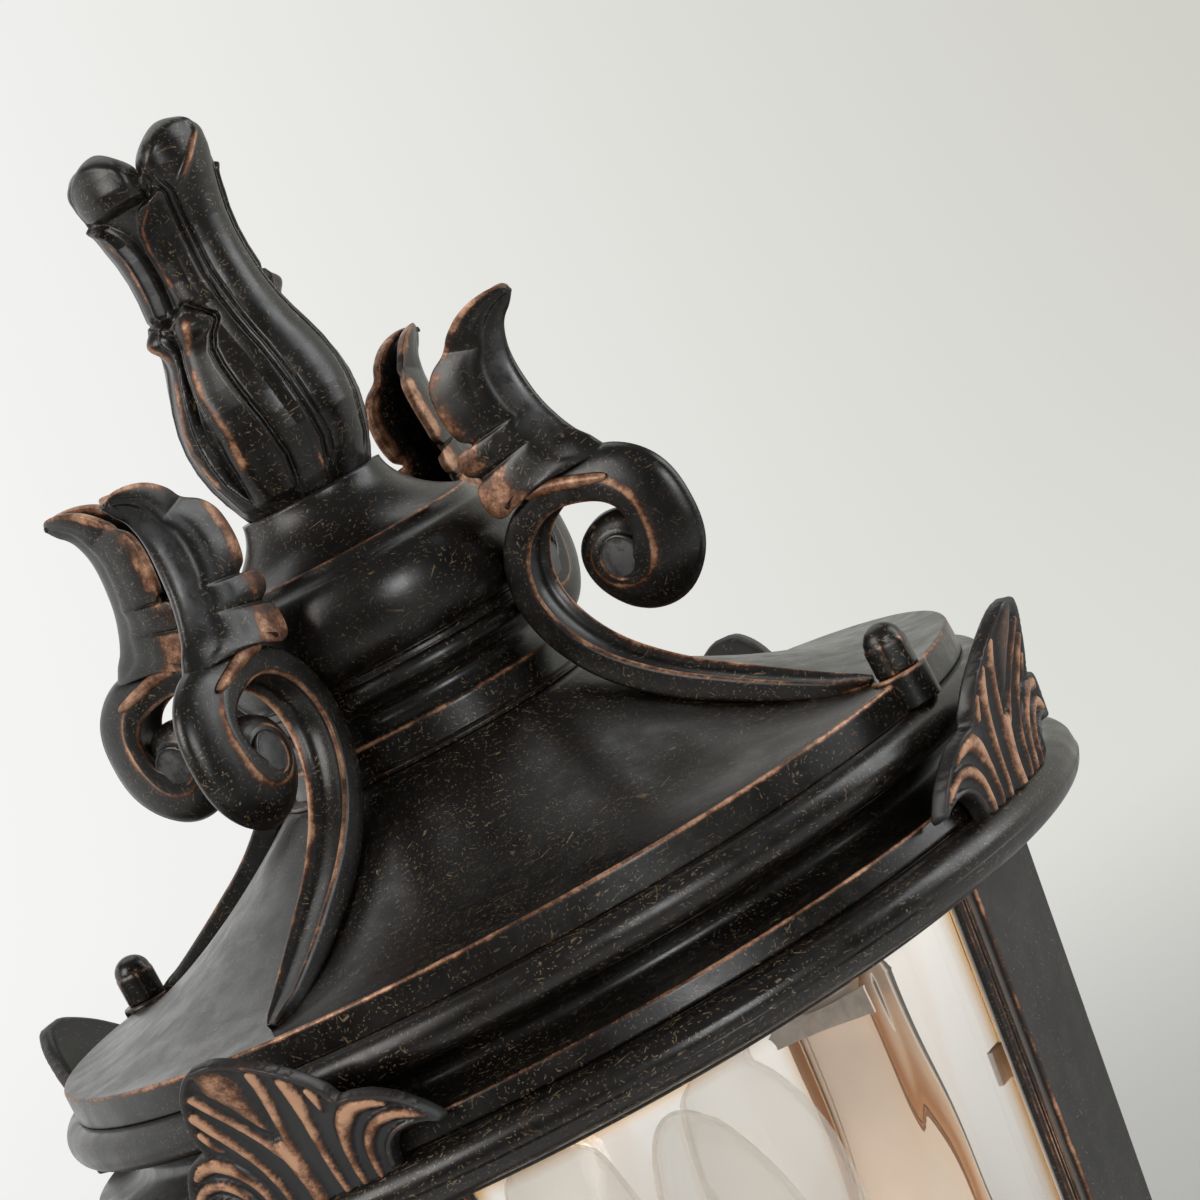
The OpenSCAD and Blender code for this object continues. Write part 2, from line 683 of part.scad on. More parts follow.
module crown() {
    r = crown_r;
    top_r = crown_top_d / 2;
    // heights of the mouldings above the crown's foot
    band_top = 8.3;
    torus_z = 18;
    groove_z = 23.5;
    bulge_z = 36;
    lip_z = 45.8;
    edge1_z = 49;
    color(bronze) difference() {
        turned(concat(
            [[0, crown_z], [r - 2.8, crown_z], [r - 3, crown_z + 0.5],
             [r - 3, crown_z + band_top - 0.4], [r - 3.6, crown_z + band_top]],
            arc(r - 3, crown_z + (band_top + torus_z - 3) / 2, 3.2, (torus_z - 3 - band_top) / 2,
                270, 90, 8),
            arc(r - 5.2, crown_z + torus_z, 2, 3, -70, 80, 8),
            [[r - 4.2, crown_z + groove_z - 3], [r - 4.2, crown_z + groove_z - 1],
             [r - 5.6, crown_z + groove_z]],
            arc(r - 10, crown_z + bulge_z - 1, 10, bulge_z - 1 - groove_z, -62, 0, 10),
            arc(r - 10, crown_z + bulge_z - 1, 10, lip_z - bulge_z, 10, 65, 6),
            [[r - 6.8, crown_z + lip_z], [r - 7.5, crown_z + edge1_z - 0.4], [r - 8, crown_z + edge1_z]],
            [for (i = [1:10]) let (t = i / 10)
                [r - 8 + (top_r - r + 8) * (1 - pow(1 - t, 1.7)),
                 crown_z + edge1_z + (crown_h - edge1_z) * pow(t, 1.25)]],
            [[0, finial_z]]
        ));
        turned([[0, crown_z - 1], [r - 3 - crown_wall, crown_z - 1],
                [r - 3 - crown_wall, crown_z + band_top],
                [r - 9.5, crown_z + band_top + 3], [r - 9.5, crown_z + groove_z + 1],
                [r - 5 - crown_wall, crown_z + bulge_z - 4], [r - 5 - crown_wall, crown_z + bulge_z],
                [r - 8.5 - crown_wall, crown_z + edge1_z - crown_wall - 1],
                [rod_d / 2 + pass_gap + 5, finial_z - rod_seat_h], [0, finial_z - rod_seat_h]]);
        translate([0, 0, finial_z - rod_seat_h - 1]) cylinder(r = rod_d / 2 + pass_gap, h = rod_seat_h + 2);
    }
}

rod_in_finial = 26;
rod_below = 6;

module finial_rod() {
    z0 = crown_z - roof_wall - 0.5 - hex_t - rod_below;
    color(steel) translate([0, 0, z0]) cylinder(d = rod_d, h = finial_z + rod_in_finial - z0);
}

module rod_nut() {
    color(steel) translate([0, 0, crown_z - roof_wall - 0.5 - hex_t])
        hex_nut(hex_af, hex_t, rod_d / 2 + run_gap);
}

// Finial: a bud with two mirror planes. Two tall petals face each other, with a pair of short
// petals round a hollow on either side between them, and a pair of curled leaves below each hollow.

// Outline of the bud: [height, radius], as shares of its height and largest radius
bud = [[0, 0.655], [0.03, 0.73], [0.08, 0.84], [0.16, 0.925], [0.25, 0.935], [0.35, 0.86], [0.43, 0.74],
       [0.48, 0.68], [0.515, 0.643], [0.54, 0.626], [0.562, 0.611], [0.62, 0.587], [0.69, 0.59],
       [0.76, 0.63], [0.82, 0.685], [0.848, 0.71], [0.9, 0.75], [0.95, 0.76]];

// [share of the height, degrees from the middle of a tall petal]
tall_edge = [[0, 22], [0.04, 21], [0.12, 18], [0.25, 21], [0.4, 24], [0.5, 28], [0.61, 32], [0.83, 30],
             [0.87, 36], [0.95, 41]];
leaf_edge = [[0, 56], [0.04, 50], [0.12, 47], [0.25, 50], [0.43, 60], [0.467, 55], [0.495, 46],
             [0.51, 47], [0.555, 60], [0.7, 54], [0.84, 46]];
leaf_ridge = [[0, 80], [0.12, 76], [0.25, 72], [0.35, 78], [0.43, 78], [0.5, 68], [0.62, 66], [0.86, 58]];
far_edge = [[0, 87], [0.12, 84], [0.25, 82.5], [0.43, 86], [0.53, 80], [0.61, 75], [0.72, 77],
            [0.8, 70], [0.84, 64], [0.87, 70], [0.95, 74]];
leaf_end = 0.55;
petal_end = 0.842;

// Thickness of a top lobe as a share of the diameter, and how far it rises and sinks as shares of the height
lobe_t = 0.225;
lobe_rise = 0.05;
lobe_sink = 0.036;

function ramp(t, low, high) = let (u = max(0, min(1, (t - low) / (high - low)))) u * u * (3 - 2 * u);

// A value on the leaf, on the short petal and on the top lobe, whichever is at this height
function by_height(t, leaf, petal, lobe) =
    let (
        past_leaf = ramp(t, leaf_end - 0.013, leaf_end + 0.012),
        past_petal = ramp(t, petal_end - 0.01, petal_end + 0.006)
    )
    leaf * (1 - past_leaf) + petal * (past_leaf - past_petal) + lobe * past_petal;

// A quarter of a ring round the bud: [degrees, how far it stands out] from a tall petal to a hollow
function bud_quarter(t) =
    let (
        tall = lookup(t, tall_edge),
        leaf = lookup(t, leaf_edge),
        ridge = lookup(t, leaf_ridge),
        far = lookup(t, far_edge),
        fade = min(1, t / 0.08),
        curl = leaf_curl * exp(-pow((t - 0.513) / 0.03, 2)),
        lip = 0.9 * exp(-pow((t - 0.815) / 0.02, 2)),
        cleft = -2.6 * ramp(t, 0.81, 0.92)
    )
    [
        [0, 0.9 * fade], [tall * 0.55, 0.6 * fade], [tall - 2.5, 0.1],
        [tall, -petal_groove * fade + cleft * 0.5], [tall + 2.5, 0.15 + cleft * 0.8],
        [max(leaf - 2.5, tall + 4), by_height(t, 0.2, 1.2, cleft + 0.3)],
        [max(leaf + 1, tall + 6), by_height(t, 1.2, 1.5, cleft + 0.5)],
        [ridge, by_height(t, 1.7 * fade + curl, 1.7 + lip, 0.7)],
        [far - 1.5, by_height(t, 0.8 + curl * 0.4, 1.2 + lip, 0.9)],
        [far + 2, by_height(t, -1.6 * fade, -petal_hollow, 0.9)],
        [90, by_height(t, -2 * fade, -petal_hollow * 0.8, 1)]
    ];

function bud_ring(t) =
    let (quarter = bud_quarter(t), m = len(quarter) - 1)
    concat(
        [for (k = [0:m]) quarter[k]],
        [for (k = [m - 1:-1:0]) [180 - quarter[k][0], quarter[k][1]]],
        [for (k = [1:m]) [180 + quarter[k][0], quarter[k][1]]],
        [for (k = [m - 1:-1:1]) [360 - quarter[k][0], quarter[k][1]]]
    );

// The top rolls over by this many degrees and goes down into the middle
function bud_point(t, r, column, roll) =
    let (
        a = column[0],
        drop = top_cleft * (1 - pow(abs(cos(2 * a)), 0.75)) * ramp(t, 0.72, 0.95),
        out = r * finial_d / 2 + column[1] - lobe_t * finial_d * (1 - cos(roll)) / 2,
        sink = max(0, roll - 90) / 90 * lobe_sink,
        up = (t + lobe_rise * sin(roll) - sink) * finial_h - drop
    ) [out * cos(a), out * sin(a), up];

module finial_bud() {
    outline = smooth(bud, 2);
    last = outline[len(outline) - 1];
    outer = [for (p = outline) let (ring = bud_ring(p[0])) [for (c = ring) bud_point(p[0], p[1], c, 0)]];
    over = [for (roll = [45, 90, 135, 180]) let (ring = bud_ring(last[0]))
        [for (c = ring) bud_point(last[0], last[1], c, roll)]];
    rings = concat(outer, over);
    n = len(rings);
    m = len(rings[0]);
    points = concat([for (ring = rings) each ring], [[0, 0, 0], [0, 0, finial_h * 0.89]]);
    faces = concat(
        [for (i = [0:n - 2]) for (j = [0:m - 1]) let (k = (j + 1) % m)
            each [[i * m + j, (i + 1) * m + k, i * m + k], [i * m + j, (i + 1) * m + j, (i + 1) * m + k]]],
        [for (j = [0:m - 1]) [n * m, j, (j + 1) % m]],
        [for (j = [0:m - 1]) [n * m + 1, (n - 1) * m + (j + 1) % m, (n - 1) * m + j]]
    );
    polyhedron(points = points, faces = faces, convexity = 6);
}

module finial() {
    color(bronze) translate([0, 0, finial_z]) difference() {
        rotate(finial_turn) finial_bud();
        translate([0, 0, -1]) cylinder(r = rod_d / 2 + run_gap, h = rod_in_finial + 1.5);
    }
}

// Scrolls
// A knot is [distance out, height, half thickness, half width, swell of the back, trough].
// Distances out and heights are measured from the crown's widest radius and the roof's top.

module swept(knots, per_knot) {
    s = smooth(knots, per_knot);
    n = len(s);
    rings = [for (i = [0:n - 1])
        let (
            p = s[i],
            ahead = s[min(i + 1, n - 1)],
            behind = s[max(i - 1, 0)],
            d = [ahead[0] - behind[0], ahead[1] - behind[1]],
            t = d / norm(d),
            inward = [t[1], -t[0]],
            h = p[2],
            w = p[3],
            b = p[4],
            g = p[5],
            section = [[h, -w], [h - g, -w * 0.6], [h - g * 1.15, 0], [h - g, w * 0.6], [h, w],
                       [0, w * 1.04], [-h, w * 0.94], [-h - b * 0.72, w * 0.62], [-h - b, 0],
                       [-h - b * 0.72, -w * 0.62], [-h, -w * 0.94], [0, -w * 1.04]]
        )
        [for (q = section) [p[0] + inward[0] * q[0], q[1], p[1] + inward[1] * q[0]]]];
    m = 12;
    points = [for (ring = rings) each ring];
    faces = concat(
        [for (i = [0:n - 2]) for (j = [0:m - 1]) let (k = (j + 1) % m)
            each [[i * m + j, (i + 1) * m + k, i * m + k], [i * m + j, (i + 1) * m + j, (i + 1) * m + k]]],
        [[for (j = [0:m - 1]) j]],
        [[for (j = [m - 1:-1:0]) (n - 1) * m + j]]
    );
    polyhedron(points = points, faces = faces, convexity = 8);
}

// The tail lies on the bell of the roof, from near its edge up to where the band leaves it.
// The share is 0 at the roof's edge and 1 there. The tail lifts a little towards the band.
band_leaves_r = crown_r + 18.2;
tail_lift = 0.5;

function tail_knot(share, h, w) =
    let (r = roof_r - (roof_r - band_leaves_r) * share)
    [r, edge_z + bell(r) + scroll_gap + tail_lift * share + h, h, w, 0, min(trough, h * 0.7)];

function up_knot(u, v, h, w, b, g) =
    [crown_r + u, crown_z + v, h, w * scroll_half_w, b * volute_swell, g * trough];

band_knots = [
    tail_knot(0.147, 0.9, 1.4), tail_knot(0.311, 1.7, 3), tail_knot(0.519, 2.3, 4.3),
    tail_knot(0.709, 2.8, 5), tail_knot(0.865, 3.1, 5.4),
    up_knot(18.2, -7, 3.2, 1, 0, 1), up_knot(12.6, -1, 3.2, 1, 0.2, 1), up_knot(8.6, 5, 3.2, 1, 0.3, 1),
    up_knot(6.2, 12, 3.2, 1, 0.35, 1), up_knot(5.4, 19, 3.2, 1, 0.35, 1), up_knot(7, 26.5, 3.2, 1, 0.35, 1),
    up_knot(10.6, 32.2, 3.2, 1, 0.35, 1), up_knot(15.6, 36.3, 3.2, 1, 0.35, 1),
    up_knot(21.5, 38.2, 3.2, 1, 0.4, 1), up_knot(28, 38, 3.1, 1, 0.5, 1),
    up_knot(34.4, 35.6, 2.8, 1, 0.7, 1), up_knot(38.6, 31.2, 2.4, 1, 0.8, 0.8),
    up_knot(40.5, 26, 2.2, 1, 0.85, 0.6),
    up_knot(40.4, 20.8, 2.1, 1, 0.9, 0.5), up_knot(38.2, 16.4, 2, 0.98, 1, 0.4),
    up_knot(34.2, 14.2, 2, 0.95, 1, 0.3), up_knot(30, 15.6, 2.1, 0.92, 1, 0.2),
    up_knot(27.6, 19.4, 2.3, 0.88, 0.95, 0.1), up_knot(28.6, 23.2, 2.4, 0.84, 0.7, 0.1),
    up_knot(32, 24.6, 2, 0.78, 0.4, 0.1)
];

// The solid neck that carries the leaf and its collar
neck_knots = [
    up_knot(38, 36, 4, 0.86, 0.3, 0.1), up_knot(30.5, 41.5, 5.6, 1, 0.3, 0.1),
    up_knot(24, 45.5, 5.4, 1, 0.2, 0.1)
];

collar_knots = [
    up_knot(21, 46.2, 4, 1.25, 0, 0), up_knot(14, 43.5, 2.8, 1.32, 0, 0), up_knot(7.5, 39.6, 1.2, 1, 0, 0)
];

// The acanthus leaf is folded along its spine: [spine out, spine up, edge out, edge up, half width].
// Its three notches are where the edge comes nearest to the spine.
leaf_rows = [
    [37, 40.5, 18, 35.5, 5.2], [31.5, 47.5, 8.6, 38.6, 7.6], [29.4, 50.2, 4.8, 43.5, 7.8],
    [27.9, 53, 7.6, 48.8, 7.2], [26.7, 55.8, 3.8, 53, 7.6], [25.7, 58.8, 9.6, 56.6, 6.8],
    [24.8, 63.6, 5.7, 62.6, 7.4], [24.5, 66.4, 5.3, 67.2, 7.4], [24.4, 69.2, 6, 71.8, 7],
    [25.1, 74, 13, 77.6, 5.2], [27, 78.2, 19.4, 83.6, 4.2], [30.5, 81.2, 27.6, 85.8, 2.6],
    [33.5, 83.4, 33.1, 84.8, 0.8]
];
leaf_wall = 2;
drawn_half_w = 5.75;

module folded_leaf() {
    rows = smooth(leaf_rows, 2);
    rings = [for (row = rows)
        let (
            spine = [crown_r + row[0], crown_z + row[1]],
            edge = [crown_r + row[2], crown_z + row[3]],
            deep = norm(edge - spine),
            d = (edge - spine) / deep,
            w = row[4] * scroll_half_w / drawn_half_w,
            wall = min(leaf_wall, 0.45 * w, 0.45 * deep),
            half = [[0, 0], [0.3 * deep, 0.85 * w], [deep, w], [deep, w - wall],
                    [0.3 * deep + wall * 0.3, 0.85 * w - wall], [wall * 1.3, 0]],
            section = concat(half, [for (k = [4:-1:1]) [half[k][0], -half[k][1]]])
        )
        [for (q = section) [spine[0] + d[0] * q[0], q[1], spine[1] + d[1] * q[0]]]];
    n = len(rings);
    m = len(rings[0]);
    faces = concat(
        [for (i = [0:n - 2]) for (j = [0:m - 1]) let (k = (j + 1) % m)
            each [[i * m + j, (i + 1) * m + k, i * m + k], [i * m + j, (i + 1) * m + j, (i + 1) * m + k]]],
        [[for (j = [0:m - 1]) j]],
        [[for (j = [m - 1:-1:0]) (n - 1) * m + j]]
    );
    polyhedron(points = [for (ring = rings) each ring], faces = faces, convexity = 8);
}

eye_r = 6.3;

module scroll(i) {
    color(worn_bronze) rotate(post_azimuth + roof_turn + 90 * (i - 1)) {
        swept(band_knots, 2);
        swept(neck_knots, 1);
        swept(collar_knots, 1);
        folded_leaf();
        translate([crown_r + 32.4, 0, crown_z + 19.6]) rotate([90, 0, 0])
            cylinder(r = eye_r, h = scroll_half_w * 1.7, center = true, $fn = 24);
    }
}

// Lamp cluster on the pipe

module lamp_pipe() {
    color(steel) translate([0, 0, pipe_bottom_z]) difference() {
        cylinder(d = pipe_d, h = pipe_top_z - pipe_bottom_z);
        translate([0, 0, -1]) cylinder(d = pipe_bore_d, h = pipe_top_z - pipe_bottom_z + 2);
    }
}

module foot_nut() {
    color(steel) translate([0, 0, foot_h - cast_wall - hex_t]) hex_nut(hex_af, hex_t, nut_hole_r);
}

module bowl_nut() {
    color(steel) translate([0, 0, bowl_z + cast_wall]) hex_nut(hex_af, hex_t, nut_hole_r);
}

// Two nuts hold the lamp plate between them
module plate_nut() {
    color(steel) {
        translate([0, 0, plate_z - hex_t]) hex_nut(hex_af, hex_t, nut_hole_r);
        translate([0, 0, plate_z + plate_t]) hex_nut(hex_af, hex_t, nut_hole_r);
    }
}

module lamp_place(i) {
    rotate(30 + 120 * (i - 1)) translate([lamp_circle_r, 0, 0]) children();
}

module lamp_plate() {
    hub_r = 15;
    color(bronze) translate([0, 0, plate_z]) difference() {
        union() {
            cylinder(r = hub_r, h = plate_t);
            for (i = LAMPS) lamp_place(i) cylinder(r = sleeve_d / 2 + 3, h = plate_t);
            for (i = LAMPS) rotate(30 + 120 * (i - 1))
                translate([0, -7, 0]) cube([lamp_circle_r, 14, plate_t]);
        }
        translate([0, 0, -1]) cylinder(r = nut_hole_r, h = plate_t + 2);
        for (i = LAMPS) lamp_place(i) translate([0, 0, -1]) cylinder(r = 3, h = plate_t + 2);
    }
}

module socket(i) {
    body_h = 40;
    color(ivory) lamp_place(i) difference() {
        union() {
            translate([0, 0, sleeve_z]) cylinder(r = 5, h = socket_top_z - sleeve_z);
            translate([0, 0, socket_top_z - body_h]) cylinder(d = socket_d, h = body_h);
        }
        translate([0, 0, sleeve_z - 1]) cylinder(r = 3, h = socket_top_z - sleeve_z - body_h + 5);
        translate([0, 0, socket_top_z - cap_h - seat_gap])
            cylinder(d = cap_d + 2 * run_gap, h = cap_h + 2);
    }
}

module candle_sleeve(i) {
    color(ivory) lamp_place(i) translate([0, 0, sleeve_z]) difference() {
        cylinder(d = sleeve_d, h = sleeve_h);
        translate([0, 0, -1]) cylinder(d = sleeve_d - 2 * sleeve_t, h = sleeve_h + 2);
    }
}

module bulb(i) {
    r = bulb_d / 2;
    neck_r = min(cap_d / 2 + 2, sleeve_d / 2 - sleeve_t - pass_gap);
    color([0.98, 0.95, 0.88]) lamp_place(i) translate([0, 0, socket_top_z + seat_gap]) turned(concat(
        [[0, -cap_h], [cap_d / 2, -cap_h], [cap_d / 2, 0], [neck_r, 0], [neck_r, 3]],
        ogee(neck_r, 3.5, r, bulb_h * 0.34, 10),
        [for (k = [1:12]) let (t = k / 12)
            [(1 - t) * (r * pow(cos(90 * pow(t, 0.9)), 0.85) + (1.6 + r * 0.5) * t),
             bulb_h * (0.34 + 0.66 * t)]]
    ));
}

// What is drawn

pedestal_foot();
pedestal_stem();
lower_bowl();
lower_ring();
lamp_pipe();
foot_nut();
bowl_nut();
plate_nut();
ring_screws();
post_screws();
lamp_plate();
glass_strips();
glass_clips();
cornice_ring();
roof_studs();
roof();
crown();
finial_rod();
rod_nut();
finial();
for (i = POSTS) {
    post(i);
    glass_panel(i);
    crest(i);
}
for (i = SCROLLS)
    scroll(i);
for (i = LAMPS) {
    socket(i);
    candle_sleeve(i);
    bulb(i);
}
for (i = CAP_NUTS)
    cap_nut(i);
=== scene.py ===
"""Pedestal light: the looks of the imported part, seen as in the photograph.

Everything is in metres, in the part's own frame, with +Z up the lantern's axis. Outlines are written in
millimetres and scaled as their meshes are made.
"""
import json
from math import atan, cos, degrees, pi, radians, sin

import bmesh
import bpy
import numpy as np
from mathutils import Matrix, Vector
from mathutils.geometry import delaunay_2d_cdt


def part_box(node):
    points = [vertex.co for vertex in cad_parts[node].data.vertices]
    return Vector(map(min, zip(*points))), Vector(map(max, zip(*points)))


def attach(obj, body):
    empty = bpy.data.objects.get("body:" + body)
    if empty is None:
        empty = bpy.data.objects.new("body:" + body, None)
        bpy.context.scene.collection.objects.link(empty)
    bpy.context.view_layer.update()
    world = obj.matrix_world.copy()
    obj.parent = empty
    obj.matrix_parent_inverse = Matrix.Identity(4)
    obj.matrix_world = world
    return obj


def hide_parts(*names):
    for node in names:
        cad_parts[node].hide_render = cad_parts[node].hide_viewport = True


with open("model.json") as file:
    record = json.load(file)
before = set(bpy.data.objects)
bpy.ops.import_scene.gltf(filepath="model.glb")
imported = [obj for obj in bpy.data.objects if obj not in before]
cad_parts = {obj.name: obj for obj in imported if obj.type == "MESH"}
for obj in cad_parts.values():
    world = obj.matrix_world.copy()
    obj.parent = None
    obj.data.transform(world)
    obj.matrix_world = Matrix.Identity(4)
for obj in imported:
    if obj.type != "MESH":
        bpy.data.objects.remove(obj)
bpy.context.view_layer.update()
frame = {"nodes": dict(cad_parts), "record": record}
MM = 0.001


def top_mm(node):
    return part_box(node)[1].z / MM


def low_mm(node):
    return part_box(node)[0].z / MM


# Heights of the main forms in millimetres, taken from the part's own nodes
EDGE_BAND, BELL_RISE, CORNICE_RISE = 7.5, 31, 37.5
CORNICE_TOP = low_mm("roof")
EDGE = CORNICE_TOP + EDGE_BAND
CROWN = EDGE + BELL_RISE
FINIAL = top_mm("crown")
CORNICE = CORNICE_TOP - CORNICE_RISE
CAGE = low_mm("post_1")
RING = low_mm("lower_ring")
BOWL = low_mm("lower_bowl")
STEM = low_mm("pedestal_stem")

# Chief radii and half widths in millimetres, and angles in degrees
ROOF_R, BELL_TOP_R = 116, 40
GLASS_TOP_R, GLASS_LOW_R = 109, 77
POST_HALF = 17
POST_ANGLE, SCROLL_ANGLE = 45, 43
SIDES = 4


# Shader node helpers

def new_material(name):
    material = bpy.data.materials.new(name)
    material.use_nodes = True
    tree = material.node_tree
    tree.nodes.clear()
    return material, tree


class Nodes:
    """Short calls for the shader nodes of one material."""

    def __init__(self, tree):
        self.tree = tree
        self.coords = self.add("TexCoord").outputs["Object"]

    def add(self, kind, **settings):
        node = self.tree.nodes.new("ShaderNode" + kind)
        for key, value in settings.items():
            setattr(node, key, value)
        return node

    def link(self, source, socket):
        self.tree.links.new(source, socket)

    def feed(self, socket, value):
        if isinstance(value, bpy.types.NodeSocket):
            self.link(value, socket)
        elif value is not None:
            socket.default_value = value

    def math(self, operation, a, b=None, c=None, clamp=False):
        node = self.add("Math", operation=operation, use_clamp=clamp)
        for socket, value in zip(node.inputs, (a, b, c)):
            self.feed(socket, value)
        return node.outputs[0]

    def times(self, a, b):
        return self.math("MULTIPLY", a, b)

    def plus(self, a, b):
        return self.math("ADD", a, b)

    def largest(self, a, b):
        return self.math("MAXIMUM", a, b)

    def vector_math(self, operation, a, b=None, scale=None):
        node = self.add("VectorMath", operation=operation)
        self.feed(node.inputs[0], a)
        if b is not None:
            self.feed(node.inputs[1], b)
        if scale is not None:
            node.inputs["Scale"].default_value = scale
        return node.outputs["Value" if operation in ("DOT_PRODUCT", "LENGTH") else "Vector"]

    def noise(self, scale, detail=2, rough=0.5, vector=None, distortion=0):
        node = self.add("TexNoise")
        self.link(vector or self.coords, node.inputs["Vector"])
        node.inputs["Scale"].default_value = scale
        node.inputs["Detail"].default_value = detail
        node.inputs["Roughness"].default_value = rough
        node.inputs["Distortion"].default_value = distortion
        return node.outputs["Fac"]

    def between(self, value, low, high, out_low=0, out_high=1):
        node = self.add("MapRange", interpolation_type="SMOOTHSTEP")
        self.feed(node.inputs["Value"], value)
        for key, number in (("From Min", low), ("From Max", high), ("To Min", out_low), ("To Max", out_high)):
            node.inputs[key].default_value = number
        return node.outputs["Result"]

    def mix(self, fac, a, b):
        node = self.add("Mix", data_type="RGBA")
        self.feed(node.inputs[0], fac)
        self.feed(node.inputs[6], a if isinstance(a, bpy.types.NodeSocket) else (*a, 1))
        self.feed(node.inputs[7], b if isinstance(b, bpy.types.NodeSocket) else (*b, 1))
        return node.outputs[2]

    def attribute(self, name):
        return self.add("Attribute", attribute_name=name).outputs["Fac"]

    def bump(self, height, strength, distance):
        node = self.add("Bump")
        self.link(height, node.inputs["Height"])
        node.inputs["Strength"].default_value = strength
        node.inputs["Distance"].default_value = distance
        return node.outputs["Normal"]

    def principled(self, **values):
        node = self.add("BsdfPrincipled")
        for key, value in values.items():
            name = key.replace("_", " ")
            if isinstance(value, tuple):
                value = (*value, 1)
            self.feed(node.inputs[name], value)
        return node.outputs["BSDF"]

    def output(self, shader):
        self.link(shader, self.add("OutputMaterial").inputs["Surface"])

    def flecks(self, cell, half_length, half_width, chance, shift):
        """Small scratches in random directions, one in each of some cells, 1 on a scratch and 0 off it."""
        moved = self.vector_math("ADD", self.vector_math("SCALE", self.coords, scale=1 / cell), shift)
        cells = self.add("TexVoronoi", feature="F1", voronoi_dimensions="3D")
        self.link(moved, cells.inputs["Vector"])
        cells.inputs["Scale"].default_value = 1
        from_middle = self.vector_math("SUBTRACT", moved, cells.outputs["Position"])
        turns = self.vector_math("SCALE", cells.outputs["Color"], scale=2 * pi)
        turned = self.add("VectorRotate", rotation_type="EULER_XYZ")
        self.link(from_middle, turned.inputs["Vector"])
        self.link(turns, turned.inputs["Rotation"])
        parts = self.add("SeparateXYZ")
        self.link(turned.outputs["Vector"], parts.inputs[0])
        along = self.math("ABSOLUTE", parts.outputs[0])
        across = self.math("ABSOLUTE", parts.outputs[1])
        on_line = self.between(across, half_width / cell * 0.5, half_width / cell * 1.4, 1, 0)
        in_length = self.between(along, half_length / cell * 0.6, half_length / cell, 1, 0)
        shade = self.add("SeparateColor")
        self.link(cells.outputs["Color"], shade.inputs[0])
        picked = self.math("LESS_THAN", shade.outputs[2], chance)
        return self.times(self.times(on_line, in_length), picked)


def shaded(colour, share):
    return tuple(c * share for c in colour)


# The flecks' colours, the copper's from deep to bright, and the thin brown round it. The bright end, where
# the wear is strongest, is partly a painted highlight.
GOLD = ((0.085, 0.058, 0.028), (0.26, 0.19, 0.105))
COPPER = ((0.15, 0.055, 0.022), (0.7, 0.4, 0.245))
COPPER_HAZE = (0.05, 0.023, 0.012)


